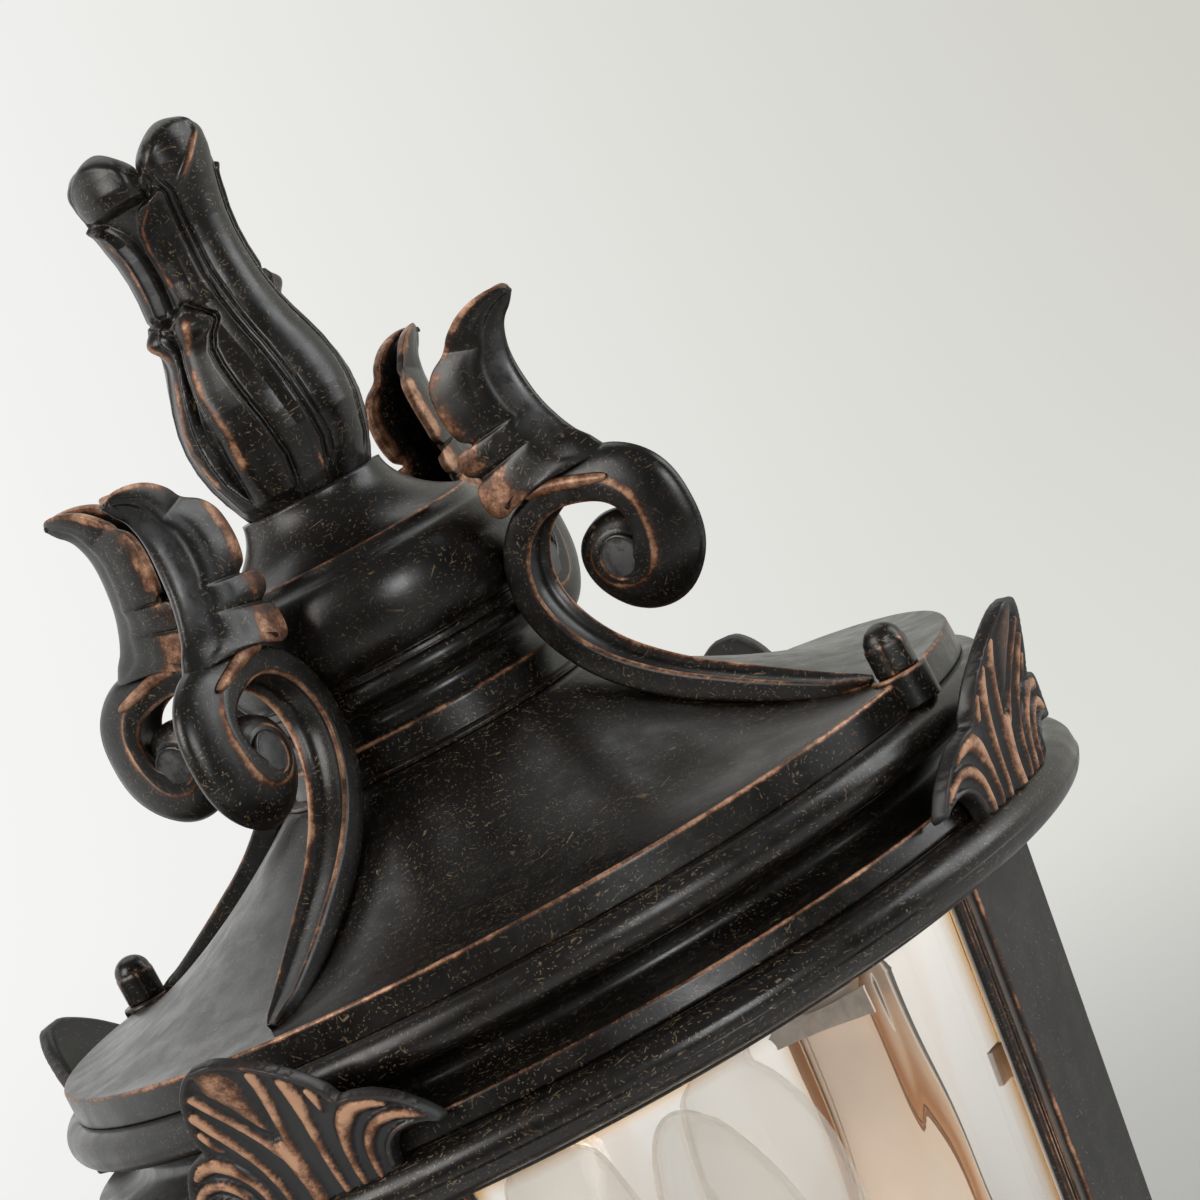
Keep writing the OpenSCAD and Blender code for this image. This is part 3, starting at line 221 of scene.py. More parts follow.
def bronze_material(name, dark=(0.0032, 0.0026, 0.0023), pale=(0.0085, 0.007, 0.006), rub=1, fleck=1,
                    rough=0.31, inside=None, metal=0, ragged_inside=0, bands=()):
    """Antiqued bronze paint: near black brown with tan flecks, rubbed to copper where the wear is.

    The wear comes from the wear attribute, and from bands, each (height in mm, half its width, strength). The
    edge attribute marks faces of the inside colour, which metal makes shine: the crest's grey grooves, and
    painted light, which is the pale inner faces of posts and strips and the grey painted highlights on
    scrolls and crests.
    """
    material, tree = new_material(name)
    n = Nodes(tree)
    # the cloudy paint with its flecks
    cloud = n.plus(n.times(n.noise(14, 4, 0.6), 0.7), n.times(n.noise(520, 3, 0.6), 0.3))
    base = n.mix(n.between(cloud, 0.35, 0.7), dark, pale)
    short = n.flecks(0.0013, 0.0004, 0.00009, 0.36 * fleck, (0, 0, 0))
    dots = n.flecks(0.0009, 0.00018, 0.00012, 0.45 * fleck, (3.1, 7.7, 1.3))
    long = n.flecks(0.0036, 0.001, 0.0001, 0.16 * fleck, (5.3, 0.7, 9.1))
    patchy = n.between(n.noise(42, 3, 0.6), 0.36, 0.62, 0.3, 1)
    marks = n.times(n.largest(n.largest(short, n.times(dots, 0.8)), long), patchy)
    painted = n.mix(marks, base, n.mix(n.between(n.noise(900, 1), 0.3, 0.7), *GOLD))
    # how far the paint is rubbed off
    wear = n.attribute("wear")
    if bands:
        parts = n.add("SeparateXYZ")
        n.link(n.coords, parts.inputs[0])
        for height, half, strength in bands:
            gap = n.math("ABSOLUTE", n.math("SUBTRACT", parts.outputs[2], height * MM))
            wear = n.largest(wear, n.between(gap, half * MM * 0.4, half * MM, strength, 0))
    wear = n.times(wear, n.between(n.noise(17, 3, 0.55), 0.34, 0.6, 0.62 * rub, rub))
    ragged = n.plus(n.times(n.noise(150, 6, 0.68), 1.3), n.times(n.noise(1300, 3, 0.7), 0.5))
    level = n.plus(n.times(wear, 1.15), n.times(n.math("SUBTRACT", ragged, 0.9), 1.25))
    rubbed = n.between(level, 0.5, 0.68)
    # the copper is paler where the wear is stronger: partly rubbed metal, partly a painted highlight on
    # crowns and edges
    tint = n.between(n.plus(n.times(n.noise(150, 6, 0.72), 1.1), level), 1.12, 1.95)
    painted = n.mix(n.times(n.between(level, 0.1, 0.52), 0.5), painted, COPPER_HAZE)
    colour = n.mix(rubbed, painted, n.mix(tint, *COPPER))
    uneven = n.between(n.noise(120, 4, 0.6), 0.3, 0.7, rough - 0.05, rough + 0.07)
    roughness = n.plus(uneven, n.times(rubbed, 0.1))
    shine = n.times(rubbed, 0.3)
    # the inside colour: grey grooves on the crests, and painted light on the pale inner faces of posts and
    # strips and on the grey painted highlights
    if inside:
        within = n.attribute("edge")
        if ragged_inside:
            torn = n.between(n.noise(230, 5, 0.7), 0.34, 0.58, 1 - ragged_inside, 1)
            within = n.times(within, torn)
        colour = n.mix(within, colour, n.mix(n.noise(90, 3), shaded(inside, 0.88), inside))
        roughness = n.largest(roughness, n.times(within, 0.5))
        shine = n.largest(shine, n.times(within, metal))
    height = n.plus(n.times(n.noise(1300, 2, 0.5), 0.5), n.times(n.noise(420, 3, 0.6), 0.9))
    height = n.math("SUBTRACT", height, n.times(marks, 0.35))
    n.output(n.principled(Base_Color=colour, Roughness=roughness, Specular_IOR_Level=0.62,
                          Metallic=shine, Normal=n.bump(height, 0.14, 0.00016)))
    return material


def steel_material(name, colour, rough):
    material, tree = new_material(name)
    n = Nodes(tree)
    streak = n.noise(260, 5, 0.6)
    tone = n.mix(n.between(streak, 0.3, 0.7), shaded(colour, 0.8), colour)
    roughness = n.between(streak, 0.3, 0.7, rough, rough + 0.14)
    normal = n.bump(n.noise(1400, 2), 0.15, 0.0001)
    n.output(n.principled(Base_Color=tone, Metallic=1, Roughness=roughness, Normal=normal))
    return material


def plastic_material(name, colour, rough):
    material, tree = new_material(name)
    n = Nodes(tree)
    tone = n.mix(n.between(n.noise(60, 3), 0.3, 0.7), shaded(colour, 0.9), colour)
    roughness = n.between(n.noise(300, 3), 0.3, 0.7, rough, rough + 0.1)
    normal = n.bump(n.noise(900, 2), 0.12, 0.0001)
    n.output(n.principled(Base_Color=tone, Roughness=roughness, Normal=normal))
    return material


def glass_material(name, tint, deep, through, ior, thick=None, thin=0):
    """Clear glass that lets the lamps' light through.

    The wear attribute marks its waves, and the edge attribute its thick sides and a painted reflection, a
    gold line under the top rim. A blown bulb is a thin shell, so the share called thin isn't bent.
    """
    material, tree = new_material(name)
    n = Nodes(tree)
    cloud = n.between(n.noise(22, 2), 0.3, 0.7)
    colour = n.mix(cloud, tint, shaded(tint, 0.985))
    if thick:
        colour = n.mix(n.attribute("wear"), colour, thick)
    colour = n.mix(n.attribute("edge"), colour, deep)
    body = n.principled(Base_Color=colour, Roughness=0, IOR=ior, Transmission_Weight=1)
    clear = n.add("BsdfTransparent")
    n.link(n.mix(n.attribute("edge"), through, deep), clear.inputs["Color"])
    mixed = n.add("MixShader")
    n.link(n.largest(n.add("LightPath").outputs["Is Shadow Ray"], thin), mixed.inputs[0])
    n.link(body, mixed.inputs[1])
    n.link(clear.outputs[0], mixed.inputs[2])
    n.output(mixed.outputs[0])
    return material


BRONZE = bronze_material("bronze_finish")
ROOF_BRONZE = bronze_material("roof_bronze", rub=0.84)
# its inside colour is a painted highlight: the grey band along each leaf's spine and the grey face of each
# volute's eye
WORN_WITH_HIGHLIGHTS = bronze_material("worn_bronze", dark=(0.0038, 0.0034, 0.0031), pale=(0.012, 0.011, 0.0105),
                       inside=(0.105, 0.105, 0.107), metal=0.4, ragged_inside=0.75)
# its inside colour is the grey of the grooves and hooks, and a painted highlight along the top of the border
CREST_BRONZE = bronze_material("crest_bronze", dark=(0.006, 0.0052, 0.0047), pale=(0.018, 0.0165, 0.016),
                               rub=1.3, fleck=0.4, rough=0.38, inside=(0.036, 0.037, 0.039))
# painted light: the inner faces of the posts and strips are pale, so that the far posts look bright through
# the glass
PAINTED_LIGHT_INSIDE = (0.97, 0.86, 0.77)
STRIP_BRONZE = bronze_material("strip_bronze", dark=(0.008, 0.007, 0.006), pale=(0.02, 0.018, 0.017),
                               rub=1.1, rough=0.45, inside=PAINTED_LIGHT_INSIDE, metal=0.1)
POST_BRONZE = bronze_material("post_bronze", dark=(0.022, 0.02, 0.0205), pale=(0.034, 0.031, 0.0315),
                              rub=0.9, fleck=0.4, rough=0.52, inside=PAINTED_LIGHT_INSIDE, metal=0.1)
NUT_BRONZE = bronze_material("nut_bronze", rub=0.8, fleck=0.8, rough=0.3)
BASE_BANDS = [
    (7.3, 0.7, 0.9), (9.6, 0.6, 0.7), (STEM - 3, 0.6, 0.9), (STEM - 0.4, 0.6, 0.7), (STEM + 6.2, 0.7, 0.8),
    (STEM + 16, 0.6, 0.8), (STEM + 25.8, 1.4, 0.45), (STEM + 35.6, 0.6, 0.8), (BOWL - 5.6, 0.6, 0.8),
    (BOWL + 1.6, 0.7, 0.8), (RING - 4.2, 0.6, 0.8), (RING - 0.3, 0.5, 0.8), (RING + 6, 1, 0.35),
    (RING + 12.3, 0.6, 0.9), (CAGE - 0.6, 0.6, 0.9)
]
BASE_BRONZE = bronze_material("base_bronze", bands=BASE_BANDS)
STEEL = steel_material("plated_steel", (0.93, 0.9, 0.87), 0.5)
# its deep colour is the amber of the thick sides, and the painted reflection under the rim
CHAMPAGNE = glass_material("champagne_glass", tint=(0.99, 0.977, 0.953), deep=(0.64, 0.36, 0.11),
                           through=(0.96, 0.93, 0.88), ior=1.42, thick=(0.972, 0.93, 0.89))
LAMPHOLDER = plastic_material("lampholder", (0.7, 0.66, 0.56), 0.3)
IVORY = plastic_material("ivory_sleeve", (0.74, 0.69, 0.58), 0.5)
BULB = glass_material("bulb_glass", tint=(0.996, 0.985, 0.965), deep=(0.9, 0.8, 0.6),
                      through=(0.997, 0.99, 0.977), ior=1.12, thin=0.66)


# Mesh helpers

def grid_faces(rows, columns, wrap_columns, wrap_rows=False):
    i, j = np.meshgrid(np.arange(rows if wrap_rows else rows - 1),
                       np.arange(columns if wrap_columns else columns - 1), indexing="ij")
    k, m = (j + 1) % columns, (i + 1) % rows
    quads = np.stack([i * columns + j, i * columns + k, m * columns + k, m * columns + j], -1)
    return quads.reshape(-1, 4).tolist()


def tube_faces(rows, columns):
    """Faces of a tube with a flat face at each end."""
    last = (rows - 1) * columns
    return grid_faces(rows, columns, True) + [list(range(columns)), list(range(last, last + columns))]


def full_turn(steps):
    return np.linspace(0, 2 * pi, steps, endpoint=False)


def on_circle(r, z, turn, x=0, y=0):
    """Points at radius r and height z, round an upright axis."""
    return np.stack([x + r * np.cos(turn), y + r * np.sin(turn), z + 0 * r * turn], -1)


def mesh_object(name, points, faces, material, values=(), weld=True):
    """A smooth mesh from points in metres. Its values, (attribute, numbers), are spread over the points."""
    mesh = bpy.data.meshes.new(name)
    mesh.from_pydata(points.reshape(-1, 3).tolist(), [], faces)
    for key, numbers in values:
        if numbers is not None:
            spread = np.broadcast_to(numbers, points.shape[:-1]).astype(np.float32)
            mesh.attributes.new(key, "FLOAT", "POINT").data.foreach_set("value", spread.reshape(-1))
    work = bmesh.new()
    work.from_mesh(mesh)
    if weld:
        bmesh.ops.remove_doubles(work, verts=work.verts, dist=1e-6)
    bmesh.ops.recalc_face_normals(work, faces=work.faces)
    for face in work.faces:
        face.smooth = True
    work.to_mesh(mesh)
    work.free()
    mesh.materials.append(material)
    made = bpy.data.objects.new(name, mesh)
    bpy.context.scene.collection.objects.link(made)
    return made


def make_piece(name, points, faces, body, slot, material, replaces=(), wear=None, edge=None, weld=True):
    """A mesh from points in millimetres, riding on its body."""
    points = np.asarray(points, float) * MM
    piece = mesh_object(name, points, faces, material, (("wear", wear), ("edge", edge)), weld)
    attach(piece, body)
    if replaces:
        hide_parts(*replaces)
    return piece


def rounded(corners, closed=False):
    """Points of an outline whose corners, (radius, height, rounding, wear), are rounded and rubbed.

    A corner without the last two is sharp and isn't rubbed.
    """
    points = []
    count = len(corners)
    for k, corner in enumerate(corners):
        r, z, rounding, rub = (*corner, 0, 0)[:4]
        here = np.array([r, z], float)
        if rounding <= 0 or (not closed and k in (0, count - 1)):
            points.append((r, z, rub))
            continue
        back = np.array(corners[k - 1][:2], float) - here
        ahead = np.array(corners[(k + 1) % count][:2], float) - here
        len_back, len_ahead = np.linalg.norm(back), np.linalg.norm(ahead)
        back, ahead = back / len_back, ahead / len_ahead
        side_back, side_ahead = min(rounding, 0.32 * len_back), min(rounding, 0.32 * len_ahead)
        points.append((*(here + back * side_back * 1.45), 0))
        for t in np.linspace(0, 1, 7):
            p = ((1 - t) ** 2 * (here + back * side_back) + 2 * t * (1 - t) * here
                 + t ** 2 * (here + ahead * side_ahead))
            points.append((*p, rub * (0.45 + 0.55 * sin(pi * t))))
        points.append((*(here + ahead * side_ahead * 1.45), 0))
    return points


def arc(cx, cz, rx, rz, a0, a1, count, rub=0):
    turn = [radians(a0 + (a1 - a0) * i / count) for i in range(count + 1)]
    return [(cx + rx * cos(a), cz + rz * sin(a), 0, rub) for a in turn]


def ease(t):
    return (1 - cos(pi * t)) / 2


def lathe(name, corners, body, node, steps=256, closed=True):
    """A turned bronze piece. A closed outline is a ring's section; an open one starts on the axis."""
    outline = np.array(rounded(corners, closed))
    r, z, rub = (outline[:, k][:, None] for k in range(3))
    make_piece(name, on_circle(r, z, full_turn(steps)), grid_faces(len(outline), steps, True, closed), body,
               "bronze_finish", ROOF_BRONZE, [node], wear=rub)


def smooth_path(knots, per):
    """Catmull-Rom curve through rows of numbers."""
    p = np.array(knots, float)
    p = np.vstack([2 * p[0] - p[1], p, 2 * p[-1] - p[-2]])
    out = []
    for k in range(1, len(p) - 2):
        for t in np.linspace(0, 1, per, endpoint=False):
            out.append(0.5 * ((2 * p[k]) + (-p[k - 1] + p[k + 1]) * t
                              + (2 * p[k - 1] - 5 * p[k] + 4 * p[k + 1] - p[k + 2]) * t * t
                              + (-p[k - 1] + 3 * p[k] - 3 * p[k + 1] + p[k + 2]) * t ** 3))
    out.append(p[-2])
    return np.array(out)


def turned_about(points, angle):
    c, s = cos(radians(angle)), sin(radians(angle))
    p = np.asarray(points, float)
    return np.stack([p[..., 0] * c - p[..., 1] * s, p[..., 0] * s + p[..., 1] * c, p[..., 2]], -1)


def knot_curve(table, at):
    """The columns of a table after its first, which says where they were measured."""
    t = np.array(table, float)
    return [np.interp(at, t[:, 0], t[:, k]) for k in range(1, t.shape[1])]


def step_up(value, low, high):
    t = np.clip((value - low) / (high - low), 0, 1)
    return t * t * (3 - 2 * t)


def span(value, start, full, end, fade):
    """Rises to 1 between start and full, and falls to 0 over the last stretch before end."""
    return step_up(value, start, full) * step_up(end - value, 0, fade)


def bell_curve(value, width):
    return np.exp(-(value / width) ** 2)


# Turned pieces

def bell(r):
    return BELL_RISE * (max(0, ROOF_R - r) / (ROOF_R - BELL_TOP_R)) ** 1.75


def build_roof():
    wall, inner_r = 3, ROOF_R - 2.5
    out = [(0, CROWN), (BELL_TOP_R - 1, CROWN)]
    out += [(r, EDGE + bell(r)) for r in np.linspace(BELL_TOP_R, inner_r, 44)]
    out += [(ROOF_R, EDGE + 0.05, 1, 1), (ROOF_R + 0.2, CORNICE_TOP, 0.5, 0.5), (inner_r, CORNICE_TOP, 0.4)]
    out += [(r, EDGE + bell(r) - wall) for r in np.linspace(inner_r - 0.2, BELL_TOP_R - 2, 40)]
    out += [(BELL_TOP_R - 4, CROWN - wall), (0, CROWN - wall)]
    lathe("roof_bell", out, "roof", "roof", 360, closed=False)


def build_crown():
    z = CROWN
    out = [(30, z + 0.05), (39.4, z + 0.05, 0.4), (39.6, z + 1.3, 0.5, 0.55), (37, z + 1.9, 0.2),
           (36.95, z + 8.3, 0.75, 1), (35.4, z + 9.6)]
    out += [(33.8 + 1.9 * abs(t) ** 2.2, z + 12.6 + 2.9 * t) for t in np.linspace(-0.85, 0.9, 9)]
    out += arc(34.3, z + 18.6, 2.6, 2.9, -68, 70, 12)
    out += [(35.3, z + 21.7, 0.3, 0.25), (35.2, z + 22.7, 0.3, 0.2), (34.5, z + 23.4)]
    out += [(34.5 + 5.5 * sin(a) ** 0.8, z + 23.4 + 12.2 * (1 - cos(a)))
            for a in np.radians(np.linspace(6, 90, 14))]
    out += [(40 - 5.6 * (1 - cos(a)) ** 0.9, z + 35.6 + 10.2 * sin(a))
            for a in np.radians(np.linspace(8, 80, 12))]
    out += [(33.9, z + 46.6), (33.2, z + 47.4), (32.4, z + 49, 0.8, 1)]
    out += [(32.3 - 14.4 * (1 - (1 - t) ** 1.7), z + 49 + (FINIAL - z - 49) * t ** 1.25)
            for t in np.linspace(0.06, 1, 22)]
    out += [(10, FINIAL), (10, z + 45), (26, z + 30), (29.5, z + 10)]
    lathe("crown_turned", out, "roof", "crown")


def build_cornice():
    z = CORNICE
    step, cove, bead, top = z + 12, z + 17.3, z + 27.5, z + 37.5
    out = [(104.8, top - 3.5, 0.3), (104.8, top, 0.3), (115.6, top, 0.3)]
    out += arc(116.6, bead + 5, 4.4, 5, 84, -84, 18, 0.04)
    out += [(115.9, bead - 0.1)]
    out += arc(117, cove + 5.5, 8.7, 4.7, 88, 262, 26)
    out += [(121.7, cove + 0.35, 0.75, 1), (122.3, step + 0.9, 0.4, 0.3), (121.4, step, 0.2)]
    out += arc(123, z + 6, 6.5, 6, 86, 20, 10, 0.03)
    out += [(129.35, z + 5.3, 0, 0.16), (129.2, z + 5.05), (129.45, z + 4.75, 0, 0.16)]
    out += arc(123, z + 6, 6.5, 6, -16, -84, 12)
    out += [(118.6, z + 0.15, 0.35, 0.75), (118.5, z - 1.8, 0.4, 0.5), (117, z - 2, 0.4, 0.6),
            (117, z - 0.2, 0.2), (100, z, 0.4), (100, z + 3.5, 0.5), (119.5, z + 3.5, 1.5),
            (118.5, step + 3, 1.5), (104.8, cove + 3.4, 2), (104.8, cove + 6.8, 2),
            (115.2, bead + 3, 1.5), (115.2, top - 3.5, 1)]
    lathe("cornice_turned", out, "lantern", "cornice_ring", 384)


# Finial: a bud with two mirror planes, as measured in the photograph

# Heights above the roof's edge: the bud's foot, where its rim begins to vary, and its top
BUD_LOW, BUD_FLARE, BUD_TOP = 94.5, 160, 182
# The tall petal's turn from the photograph's side, and that side's own angle
BUD_TURN, BUD_FACES = 44, -102.5
# Height above the roof's edge, then the mean radius of the bud
BUD_R = [(94.5, 15.4), (96, 16.2), (98, 17.6), (101, 19.4), (105, 20.8), (110, 21.8), (115, 22.1),
         (120, 21.7), (125, 20.6), (130, 18.9), (134, 17.3), (138, 16), (142, 15), (146, 14.3), (151, 13.8),
         (156, 13.8), (161, 14.3), (166, 15.3), (171, 16.6), (176, 17.6), (180, 17.9), (184, 17.2)]
# Height, then the edge of the tall petal as an angle from its middle
TALL_EDGE = [(94, 22), (98, 21), (105, 18), (115, 21), (130, 24), (140, 28), (150, 32), (160, 31), (170, 30),
             (174, 36), (186, 45)]
# Height, then the far edge of the short petal
SHORT_EDGE = [(143, 73), (150, 75), (155, 76.5), (160, 77), (164, 74), (167, 68), (169.5, 58), (171, 44)]
# Height, then the near edge, ridge and far edge of one half of the curled leaf
LEAF_EDGES = [(94, 56, 80, 92), (98, 50, 79, 90), (105, 47, 76, 84), (115, 50, 72, 82.5), (120, 53, 74, 83.5),
              (125, 56, 78, 85.5), (130, 59, 79.5, 86.5), (134, 60, 80, 87.5), (137, 55, 76, 86),
              (139.5, 46, 70, 83), (141, 46, 68, 82), (143, 55, 67, 82), (145, 64, 68, 82)]
# Angle, then the height of the curled leaf's upper edge
LEAF_TOP = [(40, 139.2), (46, 140.4), (52, 142.2), (60, 144.6), (66, 145.4), (76, 144.4), (90, 142.8)]
# Height, then the angle of the rubbed line on the short petal
COPPER_LINE = [(146, 66.5), (153, 70), (160, 71), (165, 66), (168.5, 52)]


def build_finial():
    columns, lower, upper = 640, 330, 26
    phi = np.linspace(-180, 180, columns, endpoint=False)
    # theta is the angle from the nearer tall petal's middle, and signed is the same with a sign for its side
    near = (phi - BUD_TURN + 180) % 360 - 180
    side = np.abs(near)
    theta = np.where(side > 90, 180 - side, side)[None, :]
    signed = np.where(side <= 90, near, np.where(near > 0, near - 180, near + 180))[None, :]
    rim = 174.6 + 7.4 * np.abs(np.cos(np.radians(2 * theta))) ** 0.75
    z_even = BUD_LOW + (BUD_TOP - BUD_LOW) * np.linspace(0, 1, lower)[:, None]
    z_flared = BUD_FLARE + (z_even - BUD_FLARE) * (rim - BUD_FLARE) / (BUD_TOP - BUD_FLARE)
    z = np.where(z_even > BUD_FLARE, z_flared, z_even)
    radius = np.interp(z, *np.array(BUD_R).T)
    mm_per_deg = radius * pi / 180
    tall = knot_curve(TALL_EDGE, z)[0]
    far = knot_curve(SHORT_EDGE, z)[0]
    leaf_in, leaf_ridge, leaf_out = knot_curve(LEAF_EDGES, z)

    def line(at, width):
        return bell_curve((theta - at) * mm_per_deg, width)

    # tall petal: wide and convex, between double raised lines
    off = (theta - tall) * mm_per_deg
    relief = 0.9 * (1 - np.clip(theta / tall, 0, 1.6) ** 2) * step_up(z, 95, 102)
    double_line = 0.3 * bell_curve(off, 0.5) - 0.75 * (bell_curve(off - 1, 0.42) + bell_curve(off + 1, 0.42))
    relief += np.clip((z - 97) / 4, 0, 1) * np.clip((176 - z) / 5, 0, 1) * double_line
    # short petal with its curled top, over the hollow of the other tall petal
    across = np.clip((theta - tall) / np.maximum(far - tall, 4), 0, 1)
    to_far = (far - theta) * mm_per_deg
    to_top = 170.6 + 1.2 * np.sin(pi * across) - z
    inside = np.minimum(to_far, to_top * 0.5)
    above_leaf = step_up(z, 143.5, 146.5)
    short = step_up(inside, -0.5, 0.5) * step_up(off, 0.2, 1.6) * above_leaf
    curled_top = 0.5 * bell_curve(to_top - 1.6, 1.6) * step_up(theta, 46, 58)
    relief += short * (0.5 + 4.8 * across * (1 - across) + curled_top)
    border = 0.35 * bell_curve(inside - 0.5, 0.5) - 0.7 * bell_curve(inside + 0.7, 0.6)
    relief += above_leaf * step_up(off, 0.5, 2) * border
    hollow = step_up(-to_far, -0.2, 2.6) * above_leaf * step_up(172 - z, 0, 1.4)
    relief -= 3.3 * hollow * (0.82 + 0.18 * np.cos(np.radians((90 - theta) * 4)))
    relief += 1.1 * step_up(z, 171.5, 173) * step_up(theta, 40, 62) * step_up(186 - z, 4, 12)
    # the clefts between the top lobes
    relief -= 2.3 * step_up(z, 164, 178) * line(45, 2.6)
    # below the leaf's edge the short petal's own stem runs on, gently convex
    relief += 0.55 * step_up(146 - z, 0, 3) * step_up(off, 0.2, 2) * step_up(leaf_in - theta, 0, 6)
    # curled double leaf
    leaf_top = np.interp(theta, *np.array(LEAF_TOP).T)
    to_leaf = np.minimum((theta - leaf_in) * mm_per_deg, leaf_top - z)
    leaf = step_up(to_leaf, -0.35, 0.7) * step_up(z, 94.5, 98)
    relief += leaf * (0.5 + 0.95 * line(leaf_ridge, 3))
    lip = 0.42 * bell_curve(to_leaf - 0.45, 0.4) - 0.6 * bell_curve(to_leaf + 0.75, 0.55)
    relief += lip * step_up(z, 97, 101)
    relief += leaf * 3.3 * bell_curve(z - 141.2, 3.2) * line(67, 4.2)
    relief += leaf * 1.2 * bell_curve(z - 140.5, 2.6) * step_up(theta, 66, 90)
    past_leaf = (theta - leaf_out) * mm_per_deg
    relief -= 2.1 * step_up(past_leaf, -0.35, 0.75) * span(z, 98, 102, 142.5, 3)
    relief += 0.45 * bell_curve(past_leaf + 0.35, 0.35) * step_up(z, 98, 101) * (z < 144)
    # copper where hands and cloths rub
    wear = line(leaf_ridge, 1.5) * span(z, 103, 108, 144, 3)
    wear *= 1 - 0.85 * bell_curve(z - 133.5, 2.2)
    wear += 0.95 * line(np.interp(z, *np.array(COPPER_LINE).T), 0.85) * span(z, 147, 152, 170, 2)
    wear += 0.5 * short * bell_curve(to_top - 1.4, 0.8)
    from_ridge = (signed - np.interp(z, [170, 180], [-20, 14])) * mm_per_deg
    wear += 0.95 * bell_curve(from_ridge, 1.35) * span(z, 170.5, 172, 180.5, 2)
    wear += 0.6 * line(27, 0.5) * span(z, 97, 100, 107, 3)
    wear += 0.3 * bell_curve(to_leaf - 0.45, 0.3) * step_up(z, 120, 126)
    out = radius + relief + 0.9 * bell_curve(from_ridge, 1.1) * span(z, 168.5, 173, 183, 3)
    # the top rolls over and goes down into the middle
    turn = np.linspace(0, pi, upper)[1:, None]
    roll_width, roll_height, core_z = 10.6, 3.4, 176
    past_top = turn > pi / 2
    roll_r = out[-1:] - roll_width * (1 - np.cos(turn)) / 2
    roll_z = z[-1:] + roll_height * np.sin(turn) * np.where(past_top, 0.9, 1)
    roll_z = roll_z - 1.2 * past_top * (turn - pi / 2)
    shrink = np.linspace(0.8, 0, 5)[:, None]
    all_r = np.vstack([out, roll_r, roll_r[-1:] * shrink])
    all_z = np.vstack([z, roll_z, roll_z[-1:] * shrink + (1 - shrink) * core_z])
    all_w = np.vstack([wear, 0.15 * wear[-1:] + 0 * turn, 0 * shrink * wear[-1:]])
    points = on_circle(all_r, all_z - BUD_LOW + FINIAL, np.radians(phi + BUD_FACES))
    points[0, :, 2] = FINIAL + 0.05
    faces = grid_faces(all_r.shape[0], columns, True) + [list(range(columns))]
    make_piece("finial_bud", points, faces, "finial", "bronze_finish", BRONZE, ["finial"], wear=all_w)


# Scroll brackets

# Distance out and height above the roof's edge in the scroll's own plane, then half thickness, half width,
# swell of the back, depth of the trough, wear of the inner edges and wear of the back's edges
BAND = [
    (108, 1.55, 0.7, 1.2, 0, 0.3, 0.6, 0.5), (104, 2.6, 1.25, 2.5, 0.2, 0.8, 0.5, 0.5),
    (98, 4.2, 1.8, 3.7, 0.3, 1.2, 0.55, 0.3),
    (86, 9.2, 2.4, 4.8, 0.4, 1.7, 0.6, 0.25), (75, 14.4, 2.8, 5.3, 0.5, 2, 0.7, 0.2),
    (66, 19, 3.1, 5.5, 0.6, 2.2, 0.8, 0.2), (58.2, 24.2, 3.2, 5.7, 0.6, 2.3, 0.9, 0.2),
    (51.5, 30, 3.2, 5.75, 0.8, 2.3, 0.9, 0.25), (46.4, 36.5, 3.2, 5.75, 0.9, 2.3, 0.9, 0.3),
    (43, 43.5, 3.2, 5.75, 1, 2.3, 0.9, 0.3), (41.8, 50.5, 3.2, 5.75, 1, 2.3, 0.9, 0.3),
    (43.2, 57.5, 3.2, 5.75, 1, 2.3, 0.9, 0.25), (47.2, 63.6, 3.2, 5.75, 0.9, 2.2, 0.9, 0.2),
    (53, 67.6, 3.2, 5.75, 0.9, 2, 0.95, 0.1), (59.5, 69.2, 3.1, 5.75, 1.5, 1.9, 1, 0),
    (66.5, 68.2, 2.9, 5.75, 4, 1.8, 1, 0.2),
    (72.6, 65.6, 2.6, 5.75, 7.2, 1.6, 0.9, 0.9), (76.2, 61.4, 2.2, 5.75, 9.6, 1.3, 0.7, 1),
    (76.9, 56.4, 2, 5.75, 10.4, 1, 0.5, 1), (75.8, 51.4, 2.3, 5.75, 10.6, 0.6, 0.3, 1),
    (73, 47.6, 3, 5.7, 9, 0.3, 0.1, 0.8), (69, 46.7, 3.2, 5.65, 7.2, 0.2, 0, 0.7),
    (65.6, 48.6, 3.3, 5.6, 5, 0.1, 0, 1), (65, 51.8, 3.2, 5.5, 4.6, 0, 0, 0.95),
    (67.2, 54.2, 2.6, 5.3, 3.6, 0, 0, 0.5), (70.6, 54.6, 2, 4.9, 3.4, 0, 0, 0.1),
    (73.6, 53.2, 1.4, 4.3, 3.2, 0, 0, 0)
]


